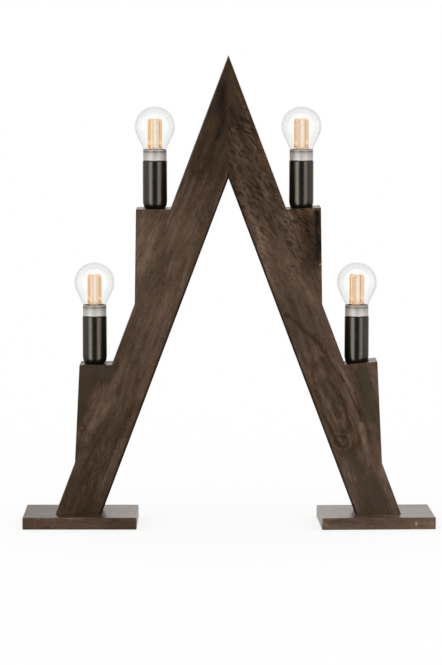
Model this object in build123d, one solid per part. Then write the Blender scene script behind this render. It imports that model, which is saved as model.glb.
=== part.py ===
from build123d import *

import math
import os
from dataclasses import dataclass

# A wooden A-shaped candle arch with an electric lamp on each of its four steps.
# Millimetres. +X is to the right, +Y to the back, +Z up. The origin is on the table, midway between the feet.

# Legs: two bars that lean against each other, mitred on the plane X = 0.
ARCH_HEIGHT = 521.0
LEG_LEAN = 20.7
LEG_WIDTH = 47.6
LEG_DEPTH = 40.0
LEG_EDGE = 0.8

# Foot blocks. The right one is turned about its own upright axis.
FOOT_WIDTH = 126.0
FOOT_DEPTH = 90.0
FOOT_THICKNESS = 13.3
FOOT_INSET = 2.0
FOOT_EDGE = 1.0
RIGHT_FOOT_TURN = 2.2

# Corbels: wedges glued to the outer faces of the legs, each with a step on top.
LOWER_STEP_HEIGHT = 180.0
STEP_SPACING = 172.3
UPPER_PROJECTION = 38.0
LOWER_PROJECTION = 35.8
UPPER_SIDE_LEAN = 0.9
LOWER_SIDE_LEAN = 2.9
UPPER_RIGHT_TILT = 3.0
LOWER_RIGHT_TILT = 6.0
UPPER_LEFT_SETBACK = 20.6
UPPER_RIGHT_SETBACK = 21.3
LOWER_LEFT_SETBACK = 16.3
LOWER_RIGHT_SETBACK = 22.3
CORBEL_EDGE = 0.6

# Dowels and screws that hold the wood together.
DOWEL_RADIUS = 4.0
DOWEL_LENGTH = 26.0
DOWEL_SPREAD = 11.0
DOWEL_MARGIN = 0.8
CORBEL_DOWEL_DROP = 35.0
APEX_DOWEL_LENGTH = 36.0
APEX_DOWEL_RISES = (26.0, 52.0)
GLUE_GAP = 0.05
FOOT_SCREW_LENGTH = 44.0
FOOT_SCREW_SHANK = 2.5
FOOT_SCREW_HEAD = 4.8
FOOT_SCREW_SPACING = 20.0
FOOT_SCREW_SINK = 0.8

# Wiring groove in the back of each leg, closed by a flush cover strip.
GROOVE_WIDTH = 10.0
GROOVE_DEPTH = 24.0
GROOVE_START = 42.0
COVER_WIDTH = 20.0
COVER_THICKNESS = 2.5
COVER_GAP = 0.2
COVER_END_LAP = 8.0
COVER_SCREW_LENGTH = 12.0
COVER_SCREW_SHANK = 1.25
COVER_SCREW_HEAD = 2.4
COVER_SCREW_COUNT = 4
WIRE_BORE = 4.0
FLEX_RADIUS = 3.0
FLEX_SET_BACK = 10.0
LEAD_RADIUS = 2.0
TAP_LENGTH = 16.0
TAP_WALL = 2.2
TAP_SOCKET = 3.0
TERMINAL_BLOCK = (13.0, 12.0, 8.0)
FITTING_GAP = 0.3
GROMMET_BORE = 3.0
GROMMET_NECK = 4.5
GROMMET_FLANGE = 6.0
GROMMET_FLANGE_THICKNESS = 1.5
GROMMET_RISE = 118.0

# Lamp holders. Heights are counted from the seat that the sleeve stands on.
SLEEVE_RADIUS = 13.5
SLEEVE_HEIGHT = 53.0
SLEEVE_WALL = 1.8
SLEEVE_FLOOR = 3.0
SLEEVE_FOOT_ROUND = 3.6
SLEEVE_RIM_ROUND = 0.5
SEAT_SINK = 0.3
SEAT_GAP = 0.3
NIPPLE_RADIUS = 5.0
NIPPLE_BORE = 3.5
NIPPLE_DEPTH = 20.0
NIPPLE_STANDS = 2.0
NUT_ACROSS_FLATS = 14.0
NUT_HEIGHT = 4.0
INSERT_GAP = 0.15
INSERT_RECESS = 1.5
INSERT_SKIRT = 2.0
WEB_THICKNESS = 4.0
CONTACT_HEAD_RADIUS = 3.0
CONTACT_HEAD_HEIGHT = 2.0
CONTACT_SHANK = 1.5
CONTACT_TAIL_RADIUS = 2.4
CONTACT_TAIL_HEIGHT = 1.0
CONTACT_PLAY = 0.05
TERMINAL_SIZE = (4.0, 6.0, 6.0)
TERMINAL_SPREAD = 11.0
SHELL_WALL = 0.6
SHELL_TOP_DROP = 2.0

# Lamps: small screw thread, pale collar, clear globe.
THREAD_PITCH = 2.822
THREAD_CORE = 6.15
CAP_RIDGE = 0.75
CAP_THREAD_TURNS = 4
SHELL_BORE = 7.4
SHELL_RIDGE = 0.8
SHELL_THREAD_TURNS = 2
CAP_LENGTH = 20.0
TIP_HEIGHT = 1.2
TIP_RADIUS = 2.4
INSULATOR_HEIGHT = 3.4
RUNNING_GAP = 0.3
COLLAR_RADIUS = 13.0
COLLAR_HEIGHT = 12.1
COLLAR_WALL = 1.5
COLLAR_FLOOR = 1.5
GLOBE_RADIUS = 22.3
GLOBE_HEIGHT = 47.2
GLASS_WALL = 0.7
NECK_DEPTH = 5.0
STEM_RADIUS = 3.5
STEM_HEIGHT = 33.0
STEM_FLARE = 3.0
FILAMENT_COUNT = 4
FILAMENT_RADIUS = 1.05
FILAMENT_RING = 8.5
FILAMENT_TWIST = 10.0
FILAMENT_START = 1.0
CAGE_WIRE = 0.5

# Derived values of the legs.
TAN_LEAN = math.tan(math.radians(LEG_LEAN))
SIN_LEAN = math.sin(math.radians(LEG_LEAN))
COS_LEAN = math.cos(math.radians(LEG_LEAN))
LEG_SPAN = LEG_WIDTH / COS_LEAN
CROTCH_HEIGHT = ARCH_HEIGHT - LEG_SPAN / TAN_LEAN
HALF_DEPTH = LEG_DEPTH / 2
GROOVE_FLOOR = HALF_DEPTH - GROOVE_DEPTH
UPPER_STEP_HEIGHT = LOWER_STEP_HEIGHT + STEP_SPACING
TAP_WIDTH = GROOVE_WIDTH - 2 * FITTING_GAP
FLEX_Y = HALF_DEPTH - FLEX_SET_BACK


def outer_x(height):
    """X of the right leg's outer face at a height."""
    return (ARCH_HEIGHT - height) * TAN_LEAN


def centre_x(height):
    """X of the right leg's centre line at a height."""
    return outer_x(height) - LEG_SPAN / 2


def centre_height(x):
    """Height at which the right leg's centre line passes an X."""
    return ARCH_HEIGHT - (x + LEG_SPAN / 2) / TAN_LEAN


def along(height):
    """Distance along the right leg from the foot block to a height on its centre line."""
    return (height - FOOT_THICKNESS) / COS_LEAN


def along_outer(height):
    """Distance along the right leg of the point of its outer face at a height."""
    return along(height) - SIN_LEAN * LEG_SPAN / 2


LEG_FRAME = Pos(centre_x(FOOT_THICKNESS), 0, FOOT_THICKNESS) * Rot(0, -LEG_LEAN, 0)
LEG_END = along(centre_height(0)) + LEG_WIDTH
FOOT_X = centre_x(FOOT_THICKNESS) - FOOT_INSET
FOOT_SCREW_X = centre_x((FOOT_THICKNESS + FOOT_SCREW_LENGTH) / 2)
RIGHT_HALF = Pos(ARCH_HEIGHT / 2, 0, ARCH_HEIGHT / 2) * Box(ARCH_HEIGHT, ARCH_HEIGHT, 2 * ARCH_HEIGHT)

# Derived heights of a lamp and its holder, counted from the seat.
COLLAR_LOW = SLEEVE_HEIGHT + RUNNING_GAP
COLLAR_HIGH = COLLAR_LOW + COLLAR_HEIGHT
TIP_LOW = COLLAR_LOW - CAP_LENGTH
CAP_LOW = TIP_LOW + TIP_HEIGHT + INSULATOR_HEIGHT
WEB_TOP = TIP_LOW - RUNNING_GAP - CONTACT_HEAD_HEIGHT - CONTACT_PLAY
WEB_LOW = WEB_TOP - WEB_THICKNESS
SLEEVE_BORE = SLEEVE_RADIUS - SLEEVE_WALL
INSERT_RADIUS = SLEEVE_BORE - INSERT_GAP
INSERT_TOP = SLEEVE_HEIGHT - INSERT_RECESS
SHELL_RADIUS = SHELL_BORE + SHELL_WALL
THREAD_LOW = CAP_LOW + CAP_RIDGE + RUNNING_GAP
NECK_LOW = COLLAR_HIGH - NECK_DEPTH
NECK_RADIUS = COLLAR_RADIUS - COLLAR_WALL - GLUE_GAP


@dataclass(frozen=True)
class Corbel:
    """One step of the arch, described on the right-hand side and mirrored for the left."""

    level: str
    side: str
    step: float
    projection: float
    side_lean: float
    tilt: float
    setback: float

    @property
    def place(self):
        return f"{self.level}_{self.side}"

    @property
    def sign(self):
        return -1 if self.side == "left" else 1

    @property
    def lamp_x(self):
        """Distance of the lamp's axis from the plane X = 0."""
        return outer_x(self.step) + self.projection - self.setback

    @property
    def seat(self):
        """Height of the flat seat, cut just below the lowest point of the step under the sleeve."""
        inner_edge = self.lamp_x - SLEEVE_RADIUS - SEAT_GAP - outer_x(self.step)
        return self.step + inner_edge * math.tan(math.radians(self.tilt)) - SEAT_SINK

    @property
    def bend(self):
        """Where the lead bends below the nipple: off the leg's centre line and along the leg."""
        x = self.lamp_x - centre_x(FOOT_THICKNESS)
        rise = self.bend_height - FOOT_THICKNESS
        return x * COS_LEAN + rise * SIN_LEAN, rise * COS_LEAN - x * SIN_LEAN

    @property
    def bend_height(self):
        return self.seat - NIPPLE_DEPTH - WIRE_BORE

    @property
    def seat_location(self):
        return Pos(self.sign * self.lamp_x, 0, self.seat)


UPPER_STEP = (UPPER_STEP_HEIGHT, UPPER_PROJECTION, UPPER_SIDE_LEAN)
LOWER_STEP = (LOWER_STEP_HEIGHT, LOWER_PROJECTION, LOWER_SIDE_LEAN)
CORBELS = (
    Corbel("upper", "left", *UPPER_STEP, 0.0, UPPER_LEFT_SETBACK),
    Corbel("upper", "right", *UPPER_STEP, UPPER_RIGHT_TILT, UPPER_RIGHT_SETBACK),
    Corbel("lower", "left", *LOWER_STEP, 0.0, LOWER_LEFT_SETBACK),
    Corbel("lower", "right", *LOWER_STEP, LOWER_RIGHT_TILT, LOWER_RIGHT_SETBACK),
)


def on_side(solid, sign):
    """The solid as built for the right-hand side, mirrored for the left."""
    return solid if sign > 0 else mirror(solid, about=Plane.YZ)


def rod(radius, low, high):
    """Upright cylinder on the Z axis between two heights."""
    return Pos(0, 0, low) * Cylinder(radius, high - low, align=(Align.CENTER, Align.CENTER, Align.MIN))


def tube(outer, inner, low, high):
    """Upright tube on the Z axis between two heights."""
    return rod(outer, low, high) - rod(inner, low, high)


def prism(points, depth):
    """Outline given as X and Z points, thickened evenly to both sides of the plane Y = 0."""
    return extrude(Plane.XZ * make_face(Polyline(*points, close=True)), amount=depth / 2, both=True)


def turned(*edges):
    """Solid of revolution about the Z axis from a closed outline in X and Z."""
    return revolve(Plane.XZ * make_face(Wire(edges)), axis=Axis.Z)


def turned_polygon(*points):
    """Solid of revolution about the Z axis from corner points in radius and height."""
    return revolve(Plane.XZ * make_face(Polyline(*points, close=True)), axis=Axis.Z)


def countersunk_screw(head, shank, length, grow=0.0):
    """Screw on the Z axis, head's flat at zero and point up; grown by a gap it is the screw's hole."""
    return turned_polygon(
        (0, -grow),
        (head + grow, -grow),
        (shank + grow, head - shank),
        (shank + grow, length - 2 * shank),
        (0, length + grow),
    )


def dowel(length, grow=0.0):
    """Dowel along X, centred on the origin."""
    return Rot(0, 90, 0) * Cylinder(DOWEL_RADIUS + grow, length + 2 * grow)


def apex_dowel_places():
    return [Pos(0, -DOWEL_SPREAD, CROTCH_HEIGHT + rise) for rise in APEX_DOWEL_RISES]


def corbel_dowel_places(corbel):
    """Dowel places across the glue face, clear of the cover strip, in the frame of the right-hand side."""
    across = COVER_WIDTH / 2 + DOWEL_MARGIN + DOWEL_LENGTH / 2
    distance = along_outer(corbel.step) - CORBEL_DOWEL_DROP
    return [LEG_FRAME * Pos(across, y, distance) for y in (-DOWEL_SPREAD, DOWEL_SPREAD)]


def foot_screw_places():
    half = FOOT_SCREW_SPACING / 2
    return [Pos(FOOT_SCREW_X + dx, 0, FOOT_SCREW_SINK) for dx in (-half, half)]


def leg_strip(width, y_low, y_high, start):
    """Bar along the leg's centre line, from a distance above the foot block to the mitre."""
    length = LEG_END - start
    bar = Box(width, y_high - y_low, length, align=(Align.CENTER, Align.MIN, Align.MIN))
    return LEG_FRAME * Pos(0, y_low, start) * bar & RIGHT_HALF


def cover_screw_places():
    """Places on the back of the right leg, heads outward, alternating between the cover's two long edges."""
    inset = (COVER_WIDTH + GROOVE_WIDTH) / 4
    first = GROOVE_START
    last = along(centre_height(0)) - COVER_WIDTH
    step = (last - first) / (COVER_SCREW_COUNT - 1)
    return [
        LEG_FRAME * Pos(inset * (-1) ** i, HALF_DEPTH, first + i * step) * Rot(90, 0, 0)
        for i in range(COVER_SCREW_COUNT)
    ]


def cover_screw(grow=0.0):
    return countersunk_screw(COVER_SCREW_HEAD, COVER_SCREW_SHANK, COVER_SCREW_LENGTH, grow)


def bent_rod(corbel, radius, end, high):
    """Round bar from near the leg's centre line, square to the leg, then straight up under a lamp."""
    across, distance = corbel.bend
    level = LEG_FRAME * Pos(0, 0, distance) * Rot(0, 90, 0) * rod(radius, end, across)
    upright = Pos(corbel.lamp_x, 0, 0) * rod(radius, corbel.bend_height, high)
    return level + Pos(corbel.lamp_x, 0, corbel.bend_height) * Sphere(radius) + upright


def wire_bore(corbel):
    """Bore from the seat to the wiring groove, wider at the top for the nipple."""
    nipple = rod(NIPPLE_RADIUS + GLUE_GAP, corbel.seat - NIPPLE_DEPTH, corbel.seat)
    return bent_rod(corbel, WIRE_BORE, 0, corbel.seat) + Pos(corbel.lamp_x, 0, 0) * nipple


def make_leg(side):
    """One leg with its groove, rebate, bores and dowel holes."""
    sign = -1 if side == "left" else 1
    leg = prism(
        (
            (0, ARCH_HEIGHT),
            (outer_x(FOOT_THICKNESS), FOOT_THICKNESS),
            (outer_x(FOOT_THICKNESS) - LEG_SPAN, FOOT_THICKNESS),
            (0, CROTCH_HEIGHT),
        ),
        LEG_DEPTH,
    )
    long_edges = leg.edges().filter_by(Axis((0, 0, 0), (-SIN_LEAN, 0, COS_LEAN)))
    leg = fillet(long_edges, LEG_EDGE)
    leg -= leg_strip(GROOVE_WIDTH, GROOVE_FLOOR, HALF_DEPTH, GROOVE_START)
    rebate_start = GROOVE_START - COVER_END_LAP
    leg -= leg_strip(COVER_WIDTH, HALF_DEPTH - COVER_THICKNESS, HALF_DEPTH, rebate_start)
    for place in cover_screw_places():
        leg -= place * cover_screw(GLUE_GAP)
    for place in foot_screw_places():
        leg -= place * countersunk_screw(FOOT_SCREW_HEAD, FOOT_SCREW_SHANK, FOOT_SCREW_LENGTH, GLUE_GAP)
    for place in apex_dowel_places():
        leg -= place * dowel(APEX_DOWEL_LENGTH, GLUE_GAP)
    for corbel in CORBELS:
        if corbel.side == side:
            leg -= wire_bore(corbel)
            for place in corbel_dowel_places(corbel):
                leg -= place * dowel(DOWEL_LENGTH, GLUE_GAP)
    return on_side(leg, sign)


def make_corbel(corbel):
    """Wedge with a step on top, its seat for the lamp holder, its bores and dowel holes."""
    inner = (outer_x(corbel.step), corbel.step)
    tilt = math.tan(math.radians(corbel.tilt))
    outer = (inner[0] + corbel.projection, inner[1] + corbel.projection * tilt)
    side_slope = math.tan(math.radians(corbel.side_lean))
    drop = (ARCH_HEIGHT * TAN_LEAN - outer[0] - outer[1] * side_slope) / (TAN_LEAN - side_slope)
    wedge = prism((inner, outer, (outer_x(drop), drop)), LEG_DEPTH)
    corner = wedge.edges().filter_by(Axis.Y).sort_by_distance((outer[0], 0, outer[1]))[0]
    wedge = fillet(corner, CORBEL_EDGE)
    wedge -= wire_bore(corbel)
    spot_face = rod(SLEEVE_RADIUS + SEAT_GAP, corbel.seat, corbel.seat + SLEEVE_HEIGHT)
    wedge -= Pos(corbel.lamp_x, 0, 0) * spot_face
    for place in corbel_dowel_places(corbel):
        wedge -= place * dowel(DOWEL_LENGTH, GLUE_GAP)
    return on_side(wedge, corbel.sign)


def make_foot(sign, turn):
    """Foot block with softened edges and countersunk screw holes from below."""
    block = Box(FOOT_WIDTH, FOOT_DEPTH, FOOT_THICKNESS, align=(Align.CENTER, Align.CENTER, Align.MIN))
    block = fillet(block.edges(), FOOT_EDGE)
    foot = Pos(FOOT_X, 0, 0) * Rot(0, 0, turn) * block
    for place in foot_screw_places():
        foot -= place * countersunk_screw(FOOT_SCREW_HEAD, FOOT_SCREW_SHANK, FOOT_SCREW_LENGTH, GLUE_GAP)
        foot -= place * Pos(0, 0, -FOOT_SCREW_SINK) * rod(FOOT_SCREW_HEAD + GLUE_GAP, 0, FOOT_SCREW_SINK)
    return on_side(foot, sign)


def make_cover(sign):
    """Flush strip over the wiring groove, with screw holes and, on the left, the hole for the grommet."""
    start = GROOVE_START - COVER_END_LAP + COVER_GAP
    strip = leg_strip(COVER_WIDTH - 2 * COVER_GAP, HALF_DEPTH - COVER_THICKNESS, HALF_DEPTH, start)
    for place in cover_screw_places():
        strip -= place * cover_screw(GLUE_GAP)
    if sign < 0:
        strip -= grommet_place() * rod(GROMMET_NECK + GLUE_GAP, -COVER_THICKNESS, COVER_THICKNESS)
    return on_side(strip, sign)


def grommet_place():
    """Place on the back of the leg with Z pointing out of it."""
    return LEG_FRAME * Pos(0, HALF_DEPTH, GROMMET_RISE) * Rot(-90, 0, 0)


def make_grommet():
    """Rubber ring with a flange on each face of the cover."""
    inside = -COVER_THICKNESS - GROMMET_FLANGE_THICKNESS
    ring = rod(GROMMET_NECK, inside, GROMMET_FLANGE_THICKNESS)
    ring += rod(GROMMET_FLANGE, 0, GROMMET_FLANGE_THICKNESS)
    ring += rod(GROOVE_WIDTH / 2 - FITTING_GAP, inside, -COVER_THICKNESS)
    ring -= rod(GROMMET_BORE, inside, GROMMET_FLANGE_THICKNESS)
    return on_side(grommet_place() * ring, -1)


def terminal_block_low():
    """Height of the underside of the terminal block, as high as the two grooves give its width."""
    half = TERMINAL_BLOCK[0] / 2 + FITTING_GAP
    reach = GROOVE_WIDTH / 2 / COS_LEAN
    return centre_height(half - reach) - TERMINAL_BLOCK[2]


def make_flex(sign):
    """Straight length of flex in one groove, from its foot to the terminal block."""
    length = along(terminal_block_low()) - GROOVE_START
    line = LEG_FRAME * Pos(0, FLEX_Y, GROOVE_START) * rod(FLEX_RADIUS, 0, length + LEG_WIDTH)
    below = Pos(0, 0, terminal_block_low() - ARCH_HEIGHT / 2) * Box(ARCH_HEIGHT, ARCH_HEIGHT, ARCH_HEIGHT)
    return on_side(line & below, sign)


def make_lead(corbel):
    """Lead from the terminals of a holder down through its nipple and across to its tap connector."""
    high = corbel.seat + WEB_LOW - TERMINAL_SIZE[2]
    lead = bent_rod(corbel, LEAD_RADIUS, TAP_WIDTH / 2 - TAP_SOCKET, high)
    return on_side(lead, corbel.sign)


def make_tap(corbel):
    """Connector clipped round the flex beside a holder's lead, with a socket for it."""
    front = GROOVE_FLOOR + FITTING_GAP
    back = FLEX_Y + FLEX_RADIUS + TAP_WALL
    block = Box(TAP_WIDTH, back - front, TAP_LENGTH, align=(Align.CENTER, Align.MIN, Align.CENTER))
    tap = Pos(0, front, 0) * block
    tap -= Pos(0, FLEX_Y, 0) * rod(FLEX_RADIUS + GLUE_GAP, -TAP_LENGTH, TAP_LENGTH)
    tap -= Rot(0, 90, 0) * rod(LEAD_RADIUS + GLUE_GAP, TAP_WIDTH / 2 - TAP_SOCKET, TAP_WIDTH)
    _, distance = corbel.bend
    return on_side(LEG_FRAME * Pos(0, 0, distance) * tap, corbel.sign)


def make_terminal_block():
    """Block at the apex in which the two lengths of flex meet."""
    width, depth, height = TERMINAL_BLOCK
    return Pos(0, FLEX_Y, terminal_block_low() + height / 2) * Box(width, depth, height)


def make_sleeve():
    """Black holder sleeve: open top, floor with a hole for the nipple, rounded foot."""
    body = rod(SLEEVE_RADIUS, 0, SLEEVE_HEIGHT) - rod(SLEEVE_BORE, SLEEVE_FLOOR, SLEEVE_HEIGHT)
    body -= rod(NIPPLE_RADIUS + SEAT_GAP, 0, SLEEVE_FLOOR)
    for height, rounding in ((0, SLEEVE_FOOT_ROUND), (SLEEVE_HEIGHT, SLEEVE_RIM_ROUND)):
        level = [e for e in body.edges().filter_by(GeomType.CIRCLE) if abs(e.center().Z - height) < GLUE_GAP]
        widest = max(level, key=lambda edge: edge.radius)
        body = fillet(widest, rounding)
    return body


def make_nipple():
    """Hollow threaded tube that ties the sleeve to the corbel and carries the lead."""
    return tube(NIPPLE_RADIUS, NIPPLE_BORE, -NIPPLE_DEPTH, SLEEVE_FLOOR + NUT_HEIGHT + NIPPLE_STANDS)


def make_nut():
    """Hexagon nut on the sleeve's floor."""
    outline = RegularPolygon(NUT_ACROSS_FLATS / 2, 6, major_radius=False)
    nut = extrude(Pos(0, 0, SLEEVE_FLOOR) * outline, amount=NUT_HEIGHT)
    return nut - rod(NIPPLE_RADIUS + GLUE_GAP, SLEEVE_FLOOR, SLEEVE_FLOOR + NUT_HEIGHT)


def make_insert():
    """Insulating insert: a skirt round the nut, a web with the contact's hole, a bore for the screw shell."""
    body = rod(INSERT_RADIUS, SLEEVE_FLOOR, INSERT_TOP)
    body -= rod(INSERT_RADIUS - INSERT_SKIRT, SLEEVE_FLOOR, WEB_LOW)
    body -= rod(SHELL_RADIUS + GLUE_GAP, WEB_TOP, INSERT_TOP)
    return body - rod(CONTACT_SHANK + CONTACT_PLAY, WEB_LOW, WEB_TOP)


def make_terminals():
    """Two terminal blocks under the web of a holder."""
    box = Box(*TERMINAL_SIZE, align=(Align.CENTER, Align.CENTER, Align.MAX))
    return [Pos(dx, 0, WEB_LOW) * box for dx in (-TERMINAL_SPREAD / 2, TERMINAL_SPREAD / 2)]


def make_contact():
    """Centre contact: a rivet through the web, turned about the lamp's axis."""
    head_low = WEB_TOP + CONTACT_PLAY
    tail_high = WEB_LOW - CONTACT_PLAY
    return (
        rod(CONTACT_HEAD_RADIUS, head_low, head_low + CONTACT_HEAD_HEIGHT)
        + rod(CONTACT_SHANK, tail_high, head_low)
        + rod(CONTACT_TAIL_RADIUS, tail_high - CONTACT_TAIL_HEIGHT, tail_high)
    )


def thread_ridge(helix_radius, ridge_radius, low, turns):
    """Round ridge wound on the Z axis as a right-hand thread, starting on the +X side."""
    path = Helix(THREAD_PITCH, turns * THREAD_PITCH, helix_radius)
    section = Plane(origin=path @ 0, z_dir=path % 0) * Circle(ridge_radius)
    return Pos(0, 0, low) * sweep(section, path=path, is_frenet=True)


def make_shell():
    """Screw shell: a thin tube with the internal thread of the holder."""
    shell = tube(SHELL_RADIUS, SHELL_BORE, WEB_TOP, INSERT_TOP - SHELL_TOP_DROP)
    ridge = thread_ridge(SHELL_BORE, SHELL_RIDGE, THREAD_LOW + THREAD_PITCH / 2, SHELL_THREAD_TURNS)
    return shell + (ridge & rod(SHELL_BORE + SHELL_WALL / 2, 0, SLEEVE_HEIGHT))


def make_cap():
    """Threaded metal cap of a lamp."""
    core = rod(THREAD_CORE, CAP_LOW, COLLAR_LOW + COLLAR_FLOOR)
    return core + thread_ridge(THREAD_CORE, CAP_RIDGE, THREAD_LOW, CAP_THREAD_TURNS)


def make_insulator():
    """Black insulating cone between the cap and the contact tip."""
    return turned_polygon(
        (0, CAP_LOW - INSULATOR_HEIGHT),
        (TIP_RADIUS, CAP_LOW - INSULATOR_HEIGHT),
        (THREAD_CORE, CAP_LOW),
        (0, CAP_LOW),
    )


def make_collar():
    """Pale cup between the cap and the globe."""
    cup = rod(COLLAR_RADIUS, COLLAR_LOW, COLLAR_HIGH)
    cup -= rod(COLLAR_RADIUS - COLLAR_WALL, COLLAR_LOW + COLLAR_FLOOR, COLLAR_HIGH)
    return cup - rod(THREAD_CORE + GLUE_GAP, COLLAR_LOW, COLLAR_LOW + COLLAR_FLOOR)


def globe_outline(shrink):
    """Edges of the globe's outline from its crown to the mouth of its neck, moved inwards by a wall."""
    radius = GLOBE_RADIUS - shrink
    centre = COLLAR_HIGH + GLOBE_HEIGHT - GLOBE_RADIUS
    shoulder = (COLLAR_RADIUS - GLUE_GAP - shrink, COLLAR_HIGH + shrink)
    reach = math.hypot(shoulder[0], shoulder[1] - centre)
    angle = math.atan2(shoulder[1] - centre, shoulder[0]) + math.acos(radius / reach)
    touch = (radius * math.cos(angle), centre + radius * math.sin(angle))
    middle = math.pi / 4 + angle / 2
    on_arc = (radius * math.cos(middle), centre + radius * math.sin(middle))
    crown = (0, centre + radius)
    neck_top = (NECK_RADIUS - shrink, COLLAR_HIGH + shrink)
    mouth = (NECK_RADIUS - shrink, NECK_LOW)
    return [
        ThreePointArc(crown, on_arc, touch),
        Line(touch, shoulder),
        Line(shoulder, neck_top),
        Line(neck_top, mouth),
    ]


def make_globe():
    """Clear globe: a thin shell with a conical lower half and a neck that stands in the collar."""
    outer = globe_outline(0.0)
    inner = globe_outline(GLASS_WALL)
    crown = Line(inner[0] @ 0, outer[0] @ 0)
    mouth = Line(outer[-1] @ 1, inner[-1] @ 1)
    return turned(*outer, *inner, crown, mouth)


def make_stem():
    """Glass stem on a flared base that closes the neck of the globe."""
    base = NECK_RADIUS - GLASS_WALL - GLUE_GAP
    top = COLLAR_HIGH + STEM_HEIGHT
    return turned_polygon(
        (0, NECK_LOW),
        (base, NECK_LOW),
        (base, NECK_LOW + STEM_FLARE / 2),
        (STEM_RADIUS, NECK_LOW + STEM_FLARE),
        (STEM_RADIUS, top),
        (0, top),
    )


def make_cage():
    """Filaments round the stem, carried by a spider on its top."""
    low = COLLAR_HIGH + FILAMENT_START
    arm_low = COLLAR_HIGH + STEM_HEIGHT
    arm_high = arm_low + 2 * CAGE_WIRE
    cage = rod(STEM_RADIUS / 2, arm_low, arm_high)
    for i in range(FILAMENT_COUNT):
        turn = Rot(0, 0, FILAMENT_TWIST + (i + 0.5) * 360 / FILAMENT_COUNT)
        filament = Pos(FILAMENT_RING, 0, 0) * rod(FILAMENT_RADIUS, low, arm_high)
        arm = Box(FILAMENT_RING, 2 * CAGE_WIRE, 2 * CAGE_WIRE)
        cage += turn * (filament + Pos(FILAMENT_RING / 2, 0, arm_low + CAGE_WIRE) * arm)
    return cage


def export(name, *solids):
    """Writes one node, which may be a group of separate solids."""
    shape = solids[0] if len(solids) == 1 else Compound(children=list(solids))
    export_step(shape, f"parts/{name}.step")


def export_wood():
    for sign, side, turn in ((-1, "left", 0.0), (1, "right", RIGHT_FOOT_TURN)):
        export(f"{side}_leg", make_leg(side))
        export(f"{side}_foot", make_foot(sign, turn))
    for corbel in CORBELS:
        export(f"{corbel.place}_corbel", make_corbel(corbel))
    export("apex_dowels", *[place * dowel(APEX_DOWEL_LENGTH) for place in apex_dowel_places()])
    corbel_dowels = [
        on_side(place * dowel(DOWEL_LENGTH), corbel.sign)
        for corbel in CORBELS
        for place in corbel_dowel_places(corbel)
    ]
    export("corbel_dowels", *corbel_dowels)
    foot_screw = countersunk_screw(FOOT_SCREW_HEAD, FOOT_SCREW_SHANK, FOOT_SCREW_LENGTH)
    foot_screws = [on_side(place * foot_screw, sign) for sign in (-1, 1) for place in foot_screw_places()]
    export("foot_screws", *foot_screws)


def export_wiring():
    export("left_wiring_cover", make_cover(-1))
    export("right_wiring_cover", make_cover(1))
    screws = [on_side(place * cover_screw(), sign) for sign in (-1, 1) for place in cover_screw_places()]
    export("cover_screws", *screws)
    export("cord_grommet", make_grommet())
    export("flex", make_flex(-1), make_flex(1), *[make_lead(corbel) for corbel in CORBELS])
    export("tap_connectors", *[make_tap(corbel) for corbel in CORBELS])
    export("terminal_block", make_terminal_block())


def export_holders():
    seats = [corbel.seat_location for corbel in CORBELS]
    export("holder_inserts", *[seat * make_insert() for seat in seats])
    export("screw_shells", *[seat * make_shell() for seat in seats])
    export("nipples", *[seat * make_nipple() for seat in seats])
    export("nipple_nuts", *[seat * make_nut() for seat in seats])
    export("terminals", *[seat * block for seat in seats for block in make_terminals()])
    sleeve = make_sleeve()
    contact = make_contact()
    for corbel in CORBELS:
        export(f"{corbel.place}_sleeve", corbel.seat_location * sleeve)
        export(f"{corbel.place}_contact", corbel.seat_location * contact)


def export_lamps():
    pieces = {
        "globe": make_globe(),
        "collar": make_collar(),
        "cap": make_cap(),
        "insulator": make_insulator(),
        "tip": rod(TIP_RADIUS, TIP_LOW, TIP_LOW + TIP_HEIGHT),
        "stem": make_stem(),
        "filament_cage": make_cage(),
    }
    for corbel in CORBELS:
        for piece, solid in pieces.items():
            export(f"{corbel.place}_{piece}", corbel.seat_location * solid)


def main():
    os.makedirs("parts", exist_ok=True)
    export_wood()
    export_wiring()
    export_holders()
    export_lamps()


if __name__ == "__main__":
    main()
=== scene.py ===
"""The looks of a candle arch: a dark stained wooden A with an electric lamp on each of its four steps."""

import logging
import math
from dataclasses import dataclass
from enum import Enum
from typing import Any, Sequence

import bmesh
import bpy
from mathutils import Matrix, Vector


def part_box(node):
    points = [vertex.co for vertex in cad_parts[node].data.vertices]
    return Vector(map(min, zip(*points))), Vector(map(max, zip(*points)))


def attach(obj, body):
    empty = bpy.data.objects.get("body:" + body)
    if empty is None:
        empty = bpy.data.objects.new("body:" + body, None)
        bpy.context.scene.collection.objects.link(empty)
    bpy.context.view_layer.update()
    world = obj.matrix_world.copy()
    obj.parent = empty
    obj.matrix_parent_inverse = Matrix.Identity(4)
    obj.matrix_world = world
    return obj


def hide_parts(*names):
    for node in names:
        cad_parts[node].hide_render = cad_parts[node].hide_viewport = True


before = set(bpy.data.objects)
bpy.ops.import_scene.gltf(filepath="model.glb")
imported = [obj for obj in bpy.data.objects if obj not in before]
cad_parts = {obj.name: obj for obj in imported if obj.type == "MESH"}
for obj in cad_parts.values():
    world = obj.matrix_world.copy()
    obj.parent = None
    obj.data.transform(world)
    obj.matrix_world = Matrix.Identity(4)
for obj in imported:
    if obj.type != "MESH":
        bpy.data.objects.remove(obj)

MM = 0.001
BODY = "arch"
LATHE_STEPS = 96
EDGE_STEPS = 6
ON_AXIS = 1e-7
LOG = logging.getLogger("candle_arch")

Colour = tuple[float, float, float, float]
Point = tuple[float, float, float]
Profile = list[tuple[float, float]]
Inputs = dict[Any, Any]

WHITE: Colour = (1.0, 1.0, 1.0, 1.0)


class Side(Enum):
    """The two halves of the arch, with the sign of X on each."""

    LEFT = -1
    RIGHT = 1

    @property
    def word(self) -> str:
        """The side's name as the pieces spell it."""
        return self.name.lower()


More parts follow.
